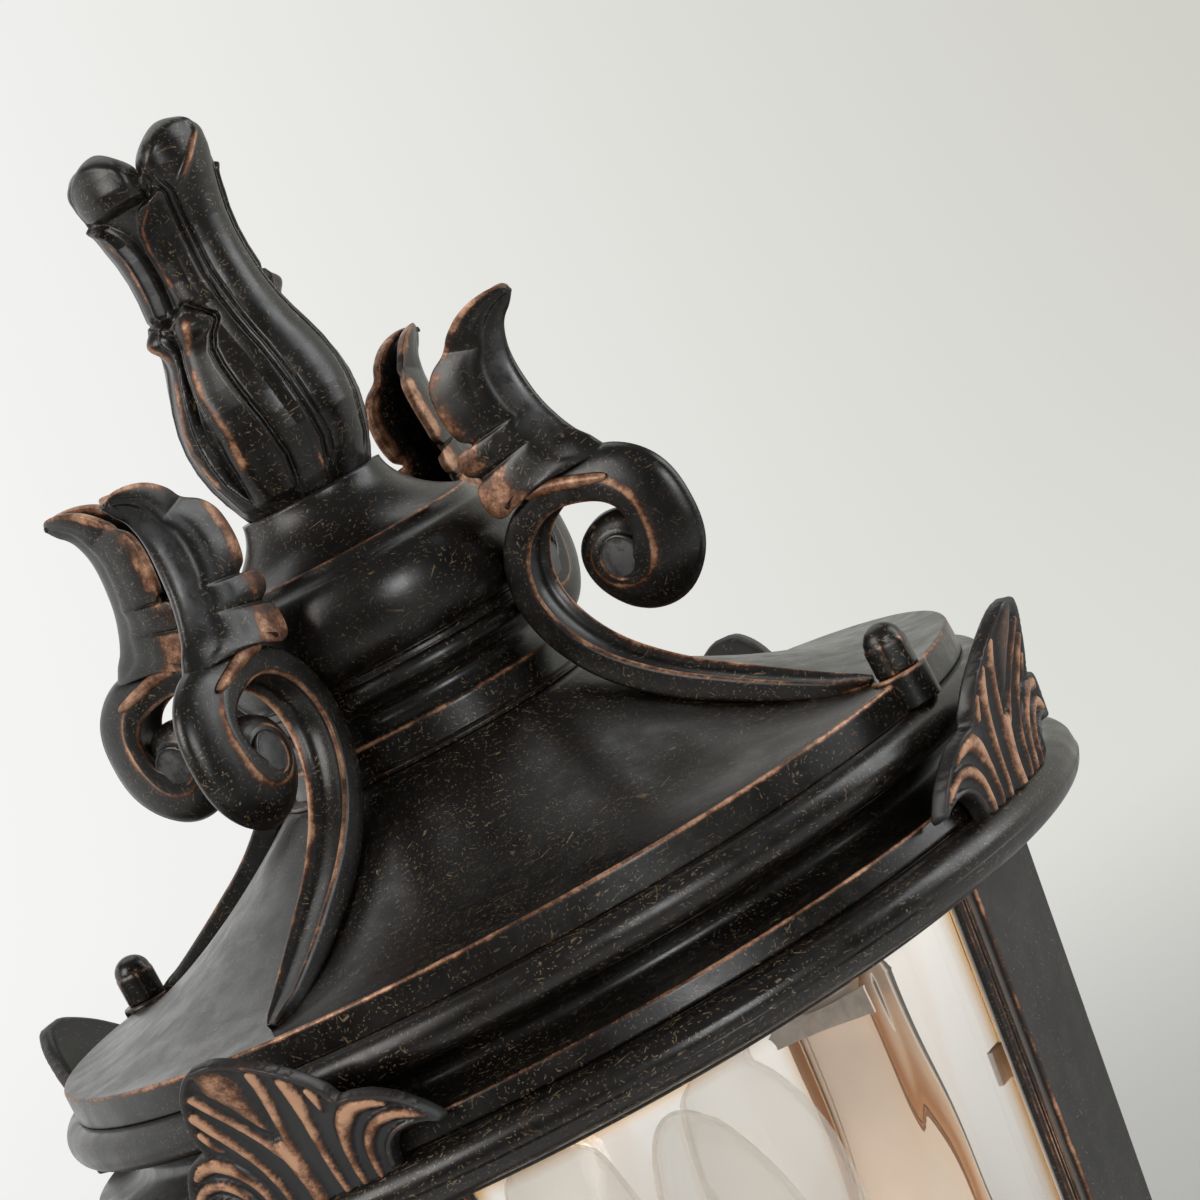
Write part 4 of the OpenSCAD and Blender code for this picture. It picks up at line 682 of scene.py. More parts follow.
def band_points():
    rows = smooth_path(BAND, 9)
    middle = rows[:, :2]
    ahead = np.gradient(middle, axis=0)
    ahead /= np.linalg.norm(ahead, axis=1)[:, None]
    inward = np.stack([ahead[:, 1], -ahead[:, 0]], 1)
    h, w, b, g, rub_in, rub_back = (rows[:, k][:, None] for k in range(2, 8))
    b, g = np.maximum(b, 0), np.maximum(g, 0)
    # distance inward, sideways as a share of the half width, and wear, round half of the section
    half = [
        (h - g * 1.12, 0, 0), (h - g * 1.08, 0.3, 0), (h - g * 0.9, 0.52, 0),
        (h - g * 0.5, 0.68, 0.1 * rub_in), (h - g * 0.12, 0.78, 0.65 * rub_in), (h + 0.05, 0.86, rub_in),
        (h - 0.02, 0.94, rub_in), (h - 0.3, 1, 0.8 * rub_in), (h - 0.85, 1.03, 0.25 * rub_in),
        (h - 1.2, 1.03, 0), (-0.3 * h, 1.02, 0), (-h + 0.75, 1.01, 0.15 * rub_back),
        (-h + 0.3, 0.99, 0.8 * rub_back), (-h - 0.05, 0.95, rub_back),
        (-h - 0.06 * b - 0.2, 0.9, 0.6 * rub_back), (-h - 0.22 * b - 0.25, 0.84, 0),
        (-h - 0.45 * b - 0.3, 0.72, 0), (-h - 0.7 * b - 0.3, 0.55, 0),
        (-h - 0.9 * b - 0.3, 0.3, 0), (-h - b - 0.3, 0, 0)
    ]
    q, y, rub = (np.hstack([row[k] + 0 * h for row in half]) for k in range(3))
    q = np.hstack([q, q[:, -2:0:-1]])
    y = np.hstack([y, -y[:, -2:0:-1]]) * w
    rub = np.hstack([rub, rub[:, -2:0:-1]])
    rho = middle[:, :1] + inward[:, :1] * q
    z = middle[:, 1:] + inward[:, 1:] * q
    return np.stack([rho, y, z + EDGE], -1), rub


# Leaf: from the collar to the tip, the spine's and the lobed edge's distance out and height, half spread
LEAF = [
    (76.5, 73.5, 56.5, 72.5, 6.6), (73.5, 76.5, 52.5, 71, 7.6), (71.5, 78.5, 48.6, 69.6, 8),
    (70.3, 79.8, 45.8, 71, 8.2), (69.4, 81.2, 44.8, 74.5, 8.2), (68.6, 82.6, 45.4, 78, 8),
    (67.9, 84, 47.6, 79.8, 7.6),
    (67.3, 85.4, 45, 81.4, 7.9), (66.7, 86.8, 43.8, 84, 8), (66.2, 88.2, 45.2, 86.8, 7.8),
    (65.7, 89.8, 49.6, 87.6, 7.2),
    (65.2, 92, 47, 89.6, 7.6), (64.8, 94.6, 45.7, 93.6, 7.8), (64.5, 97.4, 45.3, 98.2, 7.6),
    (64.4, 100.2, 46, 102.8, 7.2), (64.6, 102.8, 48.6, 106.2, 6.4), (65.1, 105, 53, 108.6, 5.4),
    (65.9, 107.2, 55.6, 111.8, 4.9), (67, 109.2, 59.4, 114.6, 4.2), (68.6, 110.9, 63.6, 116.2, 3.5),
    (70.5, 112.2, 67.6, 116.8, 2.6), (72.2, 113.2, 71, 116.6, 1.6), (73.5, 114.2, 73.3, 115.6, 0.6)
]
NOTCHES = [6, 10, 16]


def leaf_points():
    per = 6
    rows = smooth_path(LEAF, per)
    s = (np.arange(len(rows)) / per)[:, None]
    spine, edge, spread = rows[:, 0:2], rows[:, 2:4], np.maximum(rows[:, 4:5], 0.3)
    t = np.linspace(-1, 1, 61)[None, :]
    # from_spine is 0 on the spine and 1 at the leaf's edge
    from_spine = np.abs(t)
    a = from_spine * pi / 2
    deep = (1 - np.cos(a)) ** 0.85
    wide = np.sin(a) ** 0.9
    bounds = [0, *NOTCHES, len(LEAF) - 1]
    swell = np.zeros_like(s)
    for low, high in zip(bounds[:-1], bounds[1:]):
        u = np.clip((s - low) / (high - low), 0, 1)
        swell = swell + np.where((s >= low) & (s < high), np.sin(pi * u) ** 0.6, 0)
    side = spread * wide + 1.1 * (swell - 0.6) * step_up(from_spine, 0.35, 0.85)
    fold = -0.9 * (1 - swell) * step_up(from_spine, 0.3, 0.7)
    rib = 0.95 * bell_curve(t, 0.17) - 0.75 * bell_curve(from_spine - 0.33, 0.08)
    vein = -0.35 * bell_curve(from_spine - 0.58, 0.05) * swell
    fade = span(s, 0, 1.5, len(LEAF) - 1, 2.5)
    length = np.linalg.norm(edge - spine, axis=1)[:, None]
    direction = (edge - spine) / length
    depth = length * deep - (rib + vein + fold) * fade
    rho = spine[:, :1] + direction[:, :1] * depth
    z = spine[:, 1:] + direction[:, 1:] * depth
    points = np.stack([rho, side * np.sign(t), z + EDGE], -1)
    # the lobes are rubbed along their edges, the top one most
    top_lobe = step_up(s, 16.5, 17.5) * step_up(from_spine, 0.76, 0.9)
    middle_lobe = span(s, 10.6, 11.6, 15.6, 1) * step_up(from_spine, 0.76, 0.9)
    low_lobe = span(s, 1, 2, 6.4, 1.2) * step_up(from_spine, 0.6, 0.78)
    small_lobe = span(s, 6.2, 7.2, 10.2, 1) * step_up(from_spine, 0.7, 0.86)
    near_edge = step_up(from_spine, 0.8, 0.95) + 0 * s
    rub = np.maximum.reduce([0.55 * near_edge, 0.95 * top_lobe, 0.9 * middle_lobe, 0.95 * low_lobe,
                             0.85 * small_lobe])
    # a painted highlight: a grey band along the leaf beside its spine
    spine_painted_highlight = 0.8 * bell_curve(from_spine - 0.2, 0.12) * span(s, 3, 7, 19, 3)
    return points, rub, spine_painted_highlight


# Distance out, height above the roof's edge, radius and half width
VOLUTE_EYE = (69, 50.2, 5.6, 5.75)


def disc_points(rho, z, radius, half_w):
    """The volute's eye: a low domed disc on both sides, with a ring at its edge."""
    ring = [(0, 1.07, 0), (0.3, 1.06, 0), (0.55, 1.03, 0), (0.75, 1, 0.1), (0.88, 1, 0.35),
            (0.97, 0.99, 0.3), (1, 0.9, 0.1), (1, 0.5, 0)]
    profile = [(r * radius, w * half_w, rub) for r, w, rub in ring]
    profile += [(r, -w, rub) for r, w, rub in reversed(profile)]
    r, side, rub = (np.array(profile)[:, k][:, None] for k in range(3))
    turn = full_turn(64)
    points = np.stack([rho + r * np.cos(turn), side + 0 * turn, z + EDGE + r * np.sin(turn)], -1)
    crescent = step_up(-np.cos(turn - 0.5), 0.1, 0.9)
    # the eye's face is a grey painted highlight; the crescent at its ring is wear
    return points, 2.6 * rub * crescent, (rub < 0.2) & (r < 0.9 * radius)


def roll_points():
    """The rolled lower edge of the leaf's collar on one side, a thick rounded bar."""
    knots = [(54.6, 71.6, 0.4), (55.6, 71.8, 1.35), (58.5, 71.8, 1.65), (63, 71.2, 1.7), (68, 70, 1.6),
             (72.5, 68.9, 1.35), (74.6, 68.5, 0.9), (75.6, 68.4, 0.3)]
    rows = smooth_path(knots, 6)
    turn = full_turn(20)
    radius = np.maximum(rows[:, 2:3], 0.05)
    middle, half_width = 5.3, 1.55
    y = middle + half_width * np.cos(turn) * np.minimum(1, radius / 0.9)
    z = rows[:, 1:2] + radius * np.sin(turn) + EDGE
    return np.stack([rows[:, :1] + 0 * z, y, z], -1), step_up(np.cos(turn), -0.3, 0.5)


def build_scrolls():
    look = ("roof", "worn_bronze", WORN_WITH_HIGHLIGHTS)
    band, band_rub = band_points()
    leaf, leaf_rub, leaf_painted_highlight = leaf_points()
    disc, disc_rub, disc_painted_highlight = disc_points(*VOLUTE_EYE)
    roll, roll_rub = roll_points()
    for k in range(SIDES):
        angle = SCROLL_ANGLE + 90 * k
        number = k + 1
        make_piece(f"scroll_band_{number}", turned_about(band, angle), tube_faces(*band.shape[:2]), *look,
                   [f"scroll_{number}"], wear=band_rub, weld=False)
        piece = make_piece(f"scroll_leaf_{number}", turned_about(leaf, angle),
                           grid_faces(*leaf.shape[:2], False), *look, wear=leaf_rub, edge=leaf_painted_highlight)
        shell = piece.modifiers.new("thickness", "SOLIDIFY")
        shell.thickness = 2.2 * MM
        shell.offset = -1
        round_off = piece.modifiers.new("round", "SUBSURF")
        round_off.levels = round_off.render_levels = 1
        make_piece(f"scroll_eye_{number}", turned_about(disc, angle), grid_faces(*disc.shape[:2], True),
                   *look, wear=disc_rub, edge=disc_painted_highlight)
        for name, sign in (("a", 1), ("b", -1)):
            make_piece(f"scroll_collar_{number}{name}", turned_about(roll * [1, sign, 1], angle),
                       tube_faces(*roll.shape[:2]), *look, wear=roll_rub, weld=False)


# Crests: a palmette with rounded ribs and a thick rubbed border

CREST_T, CREST_RELIEF, CREST_HEIGHT = 3, 2.1, 42
CREST_SEAT = CORNICE + 9
CREST_FOOT_R, CREST_FLARE = 123, 17.5
PALMETTE = [
    (20, 0), (20.2, 3.6), (21.2, 6.8), (23.8, 9), (27.4, 9.4), (30.6, 8.6), (33, 7.4), (34.3, 8.8),
    (32.2, 13), (28.8, 17.4), (24.6, 20.8), (20.6, 22.2), (18.3, 22.6), (17.9, 25.2), (16.8, 28), (15.2, 31),
    (13.2, 33.8), (10.9, 36.6), (8.4, 38.9), (6.2, 40.5), (4, 41.8), (2, 42.4)
]
# Ribs on the right half: points from the base to the top, each (across, up, half width)
CREST_RIBS = [
    [(0, 0, 2.5), (0, 6, 2.5), (0, 12, 2.5), (0, 16.5, 2.6)],
    [(1.3, 13.5, 1.3), (2.2, 18, 1.3), (3.6, 22.5, 1.35), (5.4, 27.5, 1.5), (7, 32, 1.6), (7.9, 35.4, 1.5)],
    [(6.6, 0, 1.1), (6.8, 8, 1.25), (7.8, 15, 1.35), (9.4, 21, 1.6), (11, 26.5, 1.9), (12, 31, 1.9)],
    [(13.6, 21, 0.5), (14.3, 24, 1.2), (14.6, 26.6, 1.2)],
    [(11.2, 0, 0.95), (11.4, 6, 1.15), (12.6, 11.5, 1.5), (15.2, 16.2, 2.2), (19, 19, 2.4), (22.6, 18.7, 2.1),
     (25.4, 17, 1)],
    [(15.4, 0, 0.9), (15.6, 5, 1.1), (17, 9.8, 1.4), (20.4, 13.3, 1.6), (25, 13.9, 1.6), (28.8, 12.3, 1.4),
     (31.6, 10.2, 1)],
]
CENTRE_LOBE = [(0, 21.5, 0.3), (0, 26, 1.6), (0, 31, 3.2), (0, 35.5, 4.3), (0, 38, 3.6)]


def to_segment(points, a, b):
    """Distance to the straight line from a to b, and how far along it the nearest place is."""
    d = b - a
    t = np.clip(((points - a) @ d) / max(d @ d, 1e-9), 0, 1)
    return np.linalg.norm(points - (a + t[:, None] * d), axis=1), t


def near_path(points, path):
    """Distance to a path, the path's half width there, and how far along the path that is."""
    best, width, along = np.full(len(points), 1e9), np.ones(len(points)), np.zeros(len(points))
    path = smooth_path(path, 6)
    for k, (a, b) in enumerate(zip(path[:-1], path[1:])):
        gap, t = to_segment(points, a[:2], b[:2])
        closer = gap < best
        best = np.where(closer, gap, best)
        width = np.where(closer, a[2] + (b[2] - a[2]) * t, width)
        along = np.where(closer, (k + t) / (len(path) - 1), along)
    return best, width, along


def edge_distance(points, outline):
    best = np.full(len(points), 1e9)
    for a, b in zip(outline, np.roll(outline, -1, axis=0)):
        best = np.minimum(best, to_segment(points, a, b)[0])
    return best


def inside_outline(points, outline):
    hits = np.zeros(len(points), int)
    for a, b in zip(outline, np.roll(outline, -1, axis=0)):
        crosses = (a[1] > points[:, 1]) != (b[1] > points[:, 1])
        with np.errstate(divide="ignore", invalid="ignore"):
            x = a[0] + (points[:, 1] - a[1]) * (b[0] - a[0]) / (b[1] - a[1])
        hits += crosses & (points[:, 0] < x)
    return hits % 2 == 1


def crest_sheet():
    """Flat points of the palmette and its triangles, then its relief, wear, lip and grey at each point. The
    grey is the grooves' and hooks' colour, and a painted highlight along the border's top.
    """
    closest, spacing, step, clear = 0.25, 0.55, 0.5, 0.3
    half = smooth_path(PALMETTE, 3)
    keep = [half[0]]
    for p in half[1:]:
        if np.linalg.norm(p - keep[-1]) > closest:
            keep.append(p)
    right = np.array(keep)
    outline = np.vstack([right, (right * [-1, 1])[::-1]])
    dense = []
    for a, b in zip(outline, np.roll(outline, -1, axis=0)):
        count = max(1, int(np.linalg.norm(b - a) / spacing))
        dense += [a + (b - a) * k / count for k in range(count)]
    outline = np.array(dense)
    u, v = np.meshgrid(np.arange(-38, 38.01, step), np.arange(0.25, 43, step))
    u = u + (np.arange(u.shape[0]) % 2)[:, None] * step / 2
    grid = np.stack([u.ravel(), v.ravel()], -1)
    grid = grid[inside_outline(grid, outline)]
    grid = grid[edge_distance(grid, outline) > clear]
    points = np.vstack([outline, grid])
    n = len(outline)
    rim = [(k, (k + 1) % n) for k in range(n)]
    result = delaunay_2d_cdt([Vector(p) for p in points], rim, [], 1, 1e-6)
    flat = np.array([list(p) for p in result[0]])
    faces = [list(f) for f in result[2]]
    folded = np.stack([np.abs(flat[:, 0]), flat[:, 1]], -1)
    relief = np.zeros(len(flat))
    rub = np.zeros(len(flat))
    for path in CREST_RIBS + [CENTRE_LOBE]:
        gap, width, along = near_path(folded, path)
        round_top = np.clip(1 - (gap / width) ** 2, 0, 1) ** (0.32 if path is CENTRE_LOBE else 0.6)
        low_end = 0.6 + 0.4 * step_up(along, 0, 0.15)
        relief = np.maximum(relief, round_top * (0.75 + 0.25 * np.minimum(width, 2.2) / 2.2) * low_end)
        # the rub is strongest on each rib's crown, where the copper is palest: wear, and a painted highlight
        # on the rounded tops
        crown_rub_and_highlight = 0.62 * step_up(round_top, 0.3, 0.6) + 0.38 * step_up(round_top, 0.75, 1)
        strength = 0.6 if path is CENTRE_LOBE else 0.72 + 0.28 * step_up(along, 0.3, 0.9)
        rub = np.maximum(rub, crown_rub_and_highlight * strength)
    to_edge = edge_distance(flat, outline)
    # the border is a round bar along the edge, and the hook at each side end is grey
    border_width, lip_width = 2, 1.1
    on_border = to_edge < border_width
    border = np.sqrt(np.clip(1 - (to_edge - border_width / 2) ** 2, 0, 1)) * step_up(flat[:, 1], 1, 4)
    at_border = step_up(border_width + 0.1 - to_edge, 0, 0.5)
    relief = np.maximum(relief * (1 - 0.8 * at_border), 0.9 * border * on_border)
    rub = np.maximum(rub * (1 - at_border), 0.28 * border * on_border)
    hook = step_up(folded[:, 0], 29.5, 32.5)
    rub = rub * (1 - 0.5 * hook)
    grooves = np.clip(1 - 1.5 * relief, 0, 1) * (1 - at_border)
    # grey in the grooves and on the hooks, and a painted highlight along the top of the border
    grey_and_highlight = np.maximum(grooves + 0.6 * step_up(border, 0.85, 1) * on_border, 0.9 * hook)
    lip = np.sqrt(np.clip(1 - (1 - np.minimum(to_edge, lip_width) / lip_width) ** 2, 0, 1))
    return flat, faces, relief, rub, lip, grey_and_highlight


def crest_out(h):
    return CREST_FOOT_R + CREST_FLARE * (np.maximum(h, 0) / CREST_HEIGHT) ** 1.8


def build_crests():
    flat, faces, relief, rub, lip, grey_and_highlight = crest_sheet()
    drawn_height = 42.6
    u, h = flat[:, 0], flat[:, 1] * (CREST_HEIGHT / drawn_height)
    thickness = CREST_T * (0.35 + 0.65 * lip) + CREST_RELIEF * relief * lip
    # the crest curves with the rim: a point stays this far out round the axis
    a = u / (crest_out(h) + 1.5)
    front = on_circle(crest_out(h) + thickness, CREST_SEAT + h, a)
    back = on_circle(crest_out(h) + CREST_T * 0.22 * (1 - lip), CREST_SEAT + h, a)
    count = len(flat)
    edges = {(a, b) for f in faces for a, b in zip(f, f[1:] + f[:1])}
    open_edges = sorted((a, b) for a, b in edges if (b, a) not in edges)
    all_faces = faces + [[k + count for k in reversed(f)] for f in faces]
    all_faces += [[b, a, a + count, b + count] for a, b in open_edges]
    points = np.vstack([front, back])
    wear = np.concatenate([rub, 0.25 * (1 - lip)])
    groove_and_highlight = np.concatenate([grey_and_highlight, 0 * grey_and_highlight])
    for k in range(SIDES):
        make_piece(f"crest_leaf_{k + 1}", turned_about(points, POST_ANGLE + 90 * k), all_faces, "lantern",
                   "worn_bronze", CREST_BRONZE, [f"crest_{k + 1}"], wear=wear, edge=groove_and_highlight)


# Ears and cap nuts

NUT_ANGLES = (133, 313)
STUD_R = 115
NUT_Z = low_mm("cap_nut_1")


def build_ears():
    bore, ear_r = 3.2, 6.95
    top, foot = NUT_Z - 0.05, CORNICE_TOP + 0.3
    outline = np.array(rounded([(bore, top, 0.2), (ear_r, top, 0.9, 0.9), (ear_r, foot, 0.4), (bore, foot)],
                               True))
    turn = full_turn(96)
    ring = on_circle(outline[:, :1], outline[:, 1:2], turn, x=STUD_R)
    # the ear's outer side is flattened a little, as cast lugs are
    out = ring[..., 0] - STUD_R
    ring[..., 0] = STUD_R + out * np.where(out > 0, 0.92, 1)
    for number, angle in enumerate(NUT_ANGLES, 1):
        make_piece(f"ear_{number}", turned_about(ring, angle), grid_faces(*ring.shape[:2], True, True),
                   "roof", "bronze_finish", BRONZE, wear=outline[:, 2:])


def hex_radius(a, flat_r, corner):
    """Distance to a hexagon's side in a direction, with its corners rounded off."""
    folded = np.abs((a + pi / 6) % (pi / 3) - pi / 6)
    sharp = flat_r / np.cos(folded)
    limit = flat_r / cos(pi / 6) - corner
    soft = 0.25
    return -soft * np.log(np.exp(-sharp / soft) + np.exp(-limit / soft))


def build_cap_nuts():
    flat_r, dome_r, dome_z, dome_rise = 4.95, 4.62, 7.25, 4.2
    # height, share of the hexagon's size and wear
    hex_rows = [(0, 0.965, 0.5), (0.25, 0.985, 0.6), (0.6, 1, 0.2), (1.5, 1, 0), (3, 1, 0),
                (4.6, 1, 0), (5.8, 1, 0.1), (6.5, 0.995, 0.5), (6.9, 0.975, 0.7), (7.2, 0.945, 0.3)]
    turn = full_turn(144)
    # more wear on the hex corners, which also serves as a painted glint
    corner_wear_and_glint = np.abs(((turn + pi / 6) % (pi / 3)) - pi / 6) > 0.44
    rows = [(flat_r * share, 0, 0) for share in (0, 0.35, 0.7, 0.9)]
    for z, size, w in hex_rows:
        r = hex_radius(turn, flat_r, 0.5) * size
        if z > 6:
            r = np.minimum(r, 5.45 - (z - 6) * 0.55)
        rows.append((r, z, w + 0.55 * corner_wear_and_glint))
    rows += [(dome_r * cos(a), dome_z + dome_rise * sin(a), 0.12) for a in np.linspace(0.06, pi / 2, 16)]
    points = np.array([on_circle(r, z, turn) for r, z, _ in rows])
    rub = np.array([w + 0 * turn for _, _, w in rows])
    # each nut's flats were left at another angle
    for number, angle in enumerate(NUT_ANGLES, 1):
        local = turned_about(points, 12 + 31 * number) + np.array([STUD_R, 0, NUT_Z + 0.02])
        node = f"cap_nut_{number}"
        make_piece(f"nut_{number}", turned_about(local, angle), grid_faces(*rub.shape, True), node,
                   "nut_bronze", NUT_BRONZE, [node], wear=rub)


# Cage: posts, strips and glass

LEAN = atan((GLASS_TOP_R - GLASS_LOW_R) / (CORNICE - CAGE))


def glass_r(z):
    return GLASS_LOW_R + (GLASS_TOP_R - GLASS_LOW_R) * (z - CAGE) / (CORNICE - CAGE)


def bar_points(section, z_rows, across):
    """A bar that leans with the cage. Its section is (across, out) in millimetres."""
    rows = []
    for z in z_rows:
        u, t = across(section, z)
        rows.append(np.stack([glass_r(z) + t / cos(LEAN), u, z + 0 * u], -1))
    return np.array(rows)


def cage_rows(count):
    """Heights up the cage, closer at its ends."""
    return [CAGE + 0.02, *np.linspace(CAGE + 2, CORNICE - 2, count), CORNICE - 0.02]


def flat_ends(piece):
    for face in piece.data.polygons:
        if len(face.vertices) > 4:
            face.use_smooth = False


def build_posts():
    # the section is drawn at its full half width, and its flat middle narrows with the cage
    half, flat, thick = POST_HALF, 14.5, 4.5
    section = np.array(rounded([(-half, 0, 0.5), (-half, thick, 0.75, 0.85), (-flat, thick), (flat, thick),
                                (half, thick, 0.75, 0.85), (half, 0, 0.5), (10, 0), (-10, 0)], True))

    def across(s, z):
        shrink = half * (1 - glass_r(z) / GLASS_TOP_R)
        return s[:, 0] - np.clip(s[:, 0] / 9, -1, 1) * shrink, s[:, 1]

    points = bar_points(section, cage_rows(15), across)
    for k in range(SIDES):
        # each post's inner face is marked for the pale colour, which is painted light
        piece = make_piece(f"post_bar_{k + 1}", turned_about(points, POST_ANGLE + 90 * k),
                           tube_faces(*points.shape[:2]), "lantern", "bronze_finish", POST_BRONZE,
                           [f"post_{k + 1}"], wear=section[:, 2], edge=section[:, 1] < 2.2, weld=False)
        flat_ends(piece)


def build_strips():
    section = np.array(rounded([(0.05, -0.6, 0.1), (0.05, 2.1, 0.3, 0.4), (1, 2.4, 0.3, 0.8),
                                (1.75, 2.15, 0.15, 0.8), (2.05, 1.35, 0.15), (2.5, 1.35, 0.15),
                                (2.85, 2.15, 0.15, 0.8), (3.5, 2.3, 0.3, 0.85), (4.35, 1.6, 0.35, 0.6),
                                (4.5, 0.8, 0.3, 0.2), (4.5, -0.6, 0.1)], True))

    def across(s, z):
        return s[:, 0] + POST_HALF * glass_r(z) / GLASS_TOP_R, s[:, 1]

    one = bar_points(section, cage_rows(70), across)
    one_faces = tube_faces(*one.shape[:2])
    points, faces = [], []
    for k in range(SIDES):
        for sign in (1, -1):
            offset = len(points) * one.shape[0] * one.shape[1]
            points.append(turned_about(one * [1, sign, 1], POST_ANGLE + 90 * k))
            faces += [[v + offset for v in f] for f in one_faces]
    # the strips' inner faces are marked for the pale colour, which is painted light
    piece = make_piece("glass_edge_strips", points, faces, "lantern", "worn_bronze", STRIP_BRONZE,
                       ["glass_strips"], wear=section[:, 2], edge=section[:, 1] < 0.3, weld=False)
    flat_ends(piece)


def ripple(a_mm, z, seed):
    """Slow waves of drawn glass, mostly upright: height of the inner face and where the glass is thick."""
    s = seed * 2.39
    warp = (9 * np.sin(z / 41 + s) + 6 * np.sin(z / 23 + a_mm / 37 + 1.7 * s)
            + 4 * np.sin(z / 63 - a_mm / 19 + 0.6 * s))
    x = a_mm + warp
    broad = np.sin(x / 7.1 + s) + 0.35 * np.sin(x / 4.3 - z / 47 + 2.1 * s)
    fold = 1 - np.abs(np.sin(x / 12.5 + 0.35 * np.sin(z / 27 + s) + 0.8 * s)) ** 1.2
    cross = 0.45 * np.sin(z / 15 + a_mm / 13 + s) + 0.2 * np.sin(z / 9.5 - a_mm / 23 + 3 * s)
    height = 0.3 * broad + 0.36 * fold + 0.24 * cross
    thick = step_up(np.sin(x / 9.5 + 0.8 * s + 0.9) + 0.35 * np.sin(z / 29 + x / 21 + s), 0.15, 0.5)
    return height, thick


def build_glass():
    columns, rows = 190, 130
    thickness, wave, middle_r = 3, 0.16, 95
    z_low, z_high = CAGE, CORNICE - 0.5
    side_angle = degrees(atan((POST_HALF + 0.6) / (GLASS_TOP_R - 2)))
    z = np.linspace(z_low, z_high, rows)[:, None]
    index = np.arange(rows * columns).reshape(rows, columns)
    loop = np.concatenate([index[0], index[1:, -1], index[-1, -2::-1], index[-2:0:-1, 0]]).tolist()
    count = rows * columns
    faces = grid_faces(rows, columns, False)
    faces += [[v + count for v in reversed(f)] for f in faces]
    faces += [[p, q, q + count, p + count] for p, q in zip(loop, loop[1:] + loop[:1])]
    for k in range(SIDES):
        start = POST_ANGLE + 90 * k
        a = np.radians(np.linspace(start + side_angle, start + 90 - side_angle, columns))
        a_mm = (a[None, :] - a[0]) * middle_r
        height, thick = ripple(a_mm, z, k + 1)
        at_side = np.minimum(a_mm, a_mm[:, -1:] - a_mm)
        fade = step_up(at_side, 3, 9) * step_up(z - z_low, 1, 8) * step_up(z_high - z, 0.5, 5)
        outer_r = glass_r(z) + wave * fade * (np.sin(a_mm / 8 + np.sin(z / 31)) - 1)
        inner_r = glass_r(z) - thickness - height * fade * 0.75
        # a painted reflection: a gold line along the glass under the top rim
        rim_painted_reflection = 0.85 * (1 - step_up(z_high - z, 2, 6.5)) * step_up(np.sin(a_mm / 30 + 0.9), -0.1, 0.7)
        # amber at the thick sides, with the painted reflection added
        amber_and_reflection = np.clip(0.95 * (1 - step_up(at_side, 0, 5.5)) + rim_painted_reflection, 0, 1)
        points = np.stack([on_circle(outer_r, z, a), on_circle(inner_r, z, a)])
        make_piece(f"glass_wave_{k + 1}", points, faces, "lantern", "champagne_glass", CHAMPAGNE,
                   [f"glass_panel_{k + 1}"], wear=thick * fade, edge=amber_and_reflection, weld=False)


# Lamps

LAMPS, LAMP_R = 3, 27
SCREW_R, NECK_R, BULB_R = 5.8, 8.3, 17.3
SLEEVE_R = 10.5


def build_lamps():
    socket_top, bulb_top = top_mm("socket_1"), top_mm("bulb_1")
    sleeve_low, sleeve_high = low_mm("candle_sleeve_1"), top_mm("candle_sleeve_1")
    neck_z = socket_top + 3
    wide_z = neck_z + (bulb_top - socket_top) * 0.33
    outline = [(0, socket_top - 12), (SCREW_R, socket_top - 12, 0.4), (SCREW_R + 0.1, socket_top),
               (NECK_R - 0.3, socket_top + 0.4, 0.6), (NECK_R, neck_z)]
    outline += [(NECK_R + (BULB_R - NECK_R) * ease(t), neck_z + (wide_z - neck_z) * t)
                for t in np.linspace(0.08, 1, 16)]
    outline += [(BULB_R * cos(t) ** 0.92, wide_z + (bulb_top - 0.3 - wide_z) * sin(t))
                for t in np.radians(np.linspace(4, 90, 30))]
    shape = np.array(rounded(outline))
    turn = full_turn(72)
    rim_r = SLEEVE_R - 0.9
    side = [(SLEEVE_R, z) for z in np.linspace(sleeve_low, sleeve_high, 40)]
    sleeve = np.array([(rim_r, sleeve_low), *side, (rim_r, sleeve_high)])
    r, z = sleeve[:, :1], sleeve[:, 1:]
    on_side = r > SLEEVE_R - 0.5
    run_length = 26
    for k in range(LAMPS):
        angle = radians(30 + 120 * k)
        x, y = LAMP_R * cos(angle), LAMP_R * sin(angle)
        node = f"bulb_{k + 1}"
        make_piece(f"bulb_shape_{k + 1}", on_circle(np.maximum(shape[:, :1], 0), shape[:, 1:2], turn, x, y),
                   grid_faces(len(shape), len(turn), True), node, "bulb_glass", BULB, [node])
        # wax runs stand out a little from the rim down to their ends
        runs = (z > sleeve_high - run_length - 9 * np.sin(turn * 5 + k)) & on_side
        waxed = r - 0.12 * on_side + 0.1 * runs * (0.5 + 0.5 * np.sin(turn * 7 + 2 * k))
        make_piece(f"sleeve_{k + 1}", on_circle(waxed, z, turn, x, y), grid_faces(*waxed.shape, True, True),
                   "lantern", "ivory_sleeve", IVORY, [f"candle_sleeve_{k + 1}"])


build_roof()
build_crown()
build_cornice()
build_finial()
build_scrolls()
build_crests()
build_ears()
build_cap_nuts()
build_posts()
build_strips()
build_glass()
build_lamps()


# Stage, camera and lights

# The camera as worked out from the photograph's rings: its place from the middle of the roof's edge, in
# metres, the way it looks, and how far the lantern is turned from it
EYE_PLACE = Vector((0, -1.0428, 0.1325))
PAN, TILT, ROLL = radians(2.59), radians(-5.05), radians(-28.15)
VIEW_TURN = radians(-12.5)


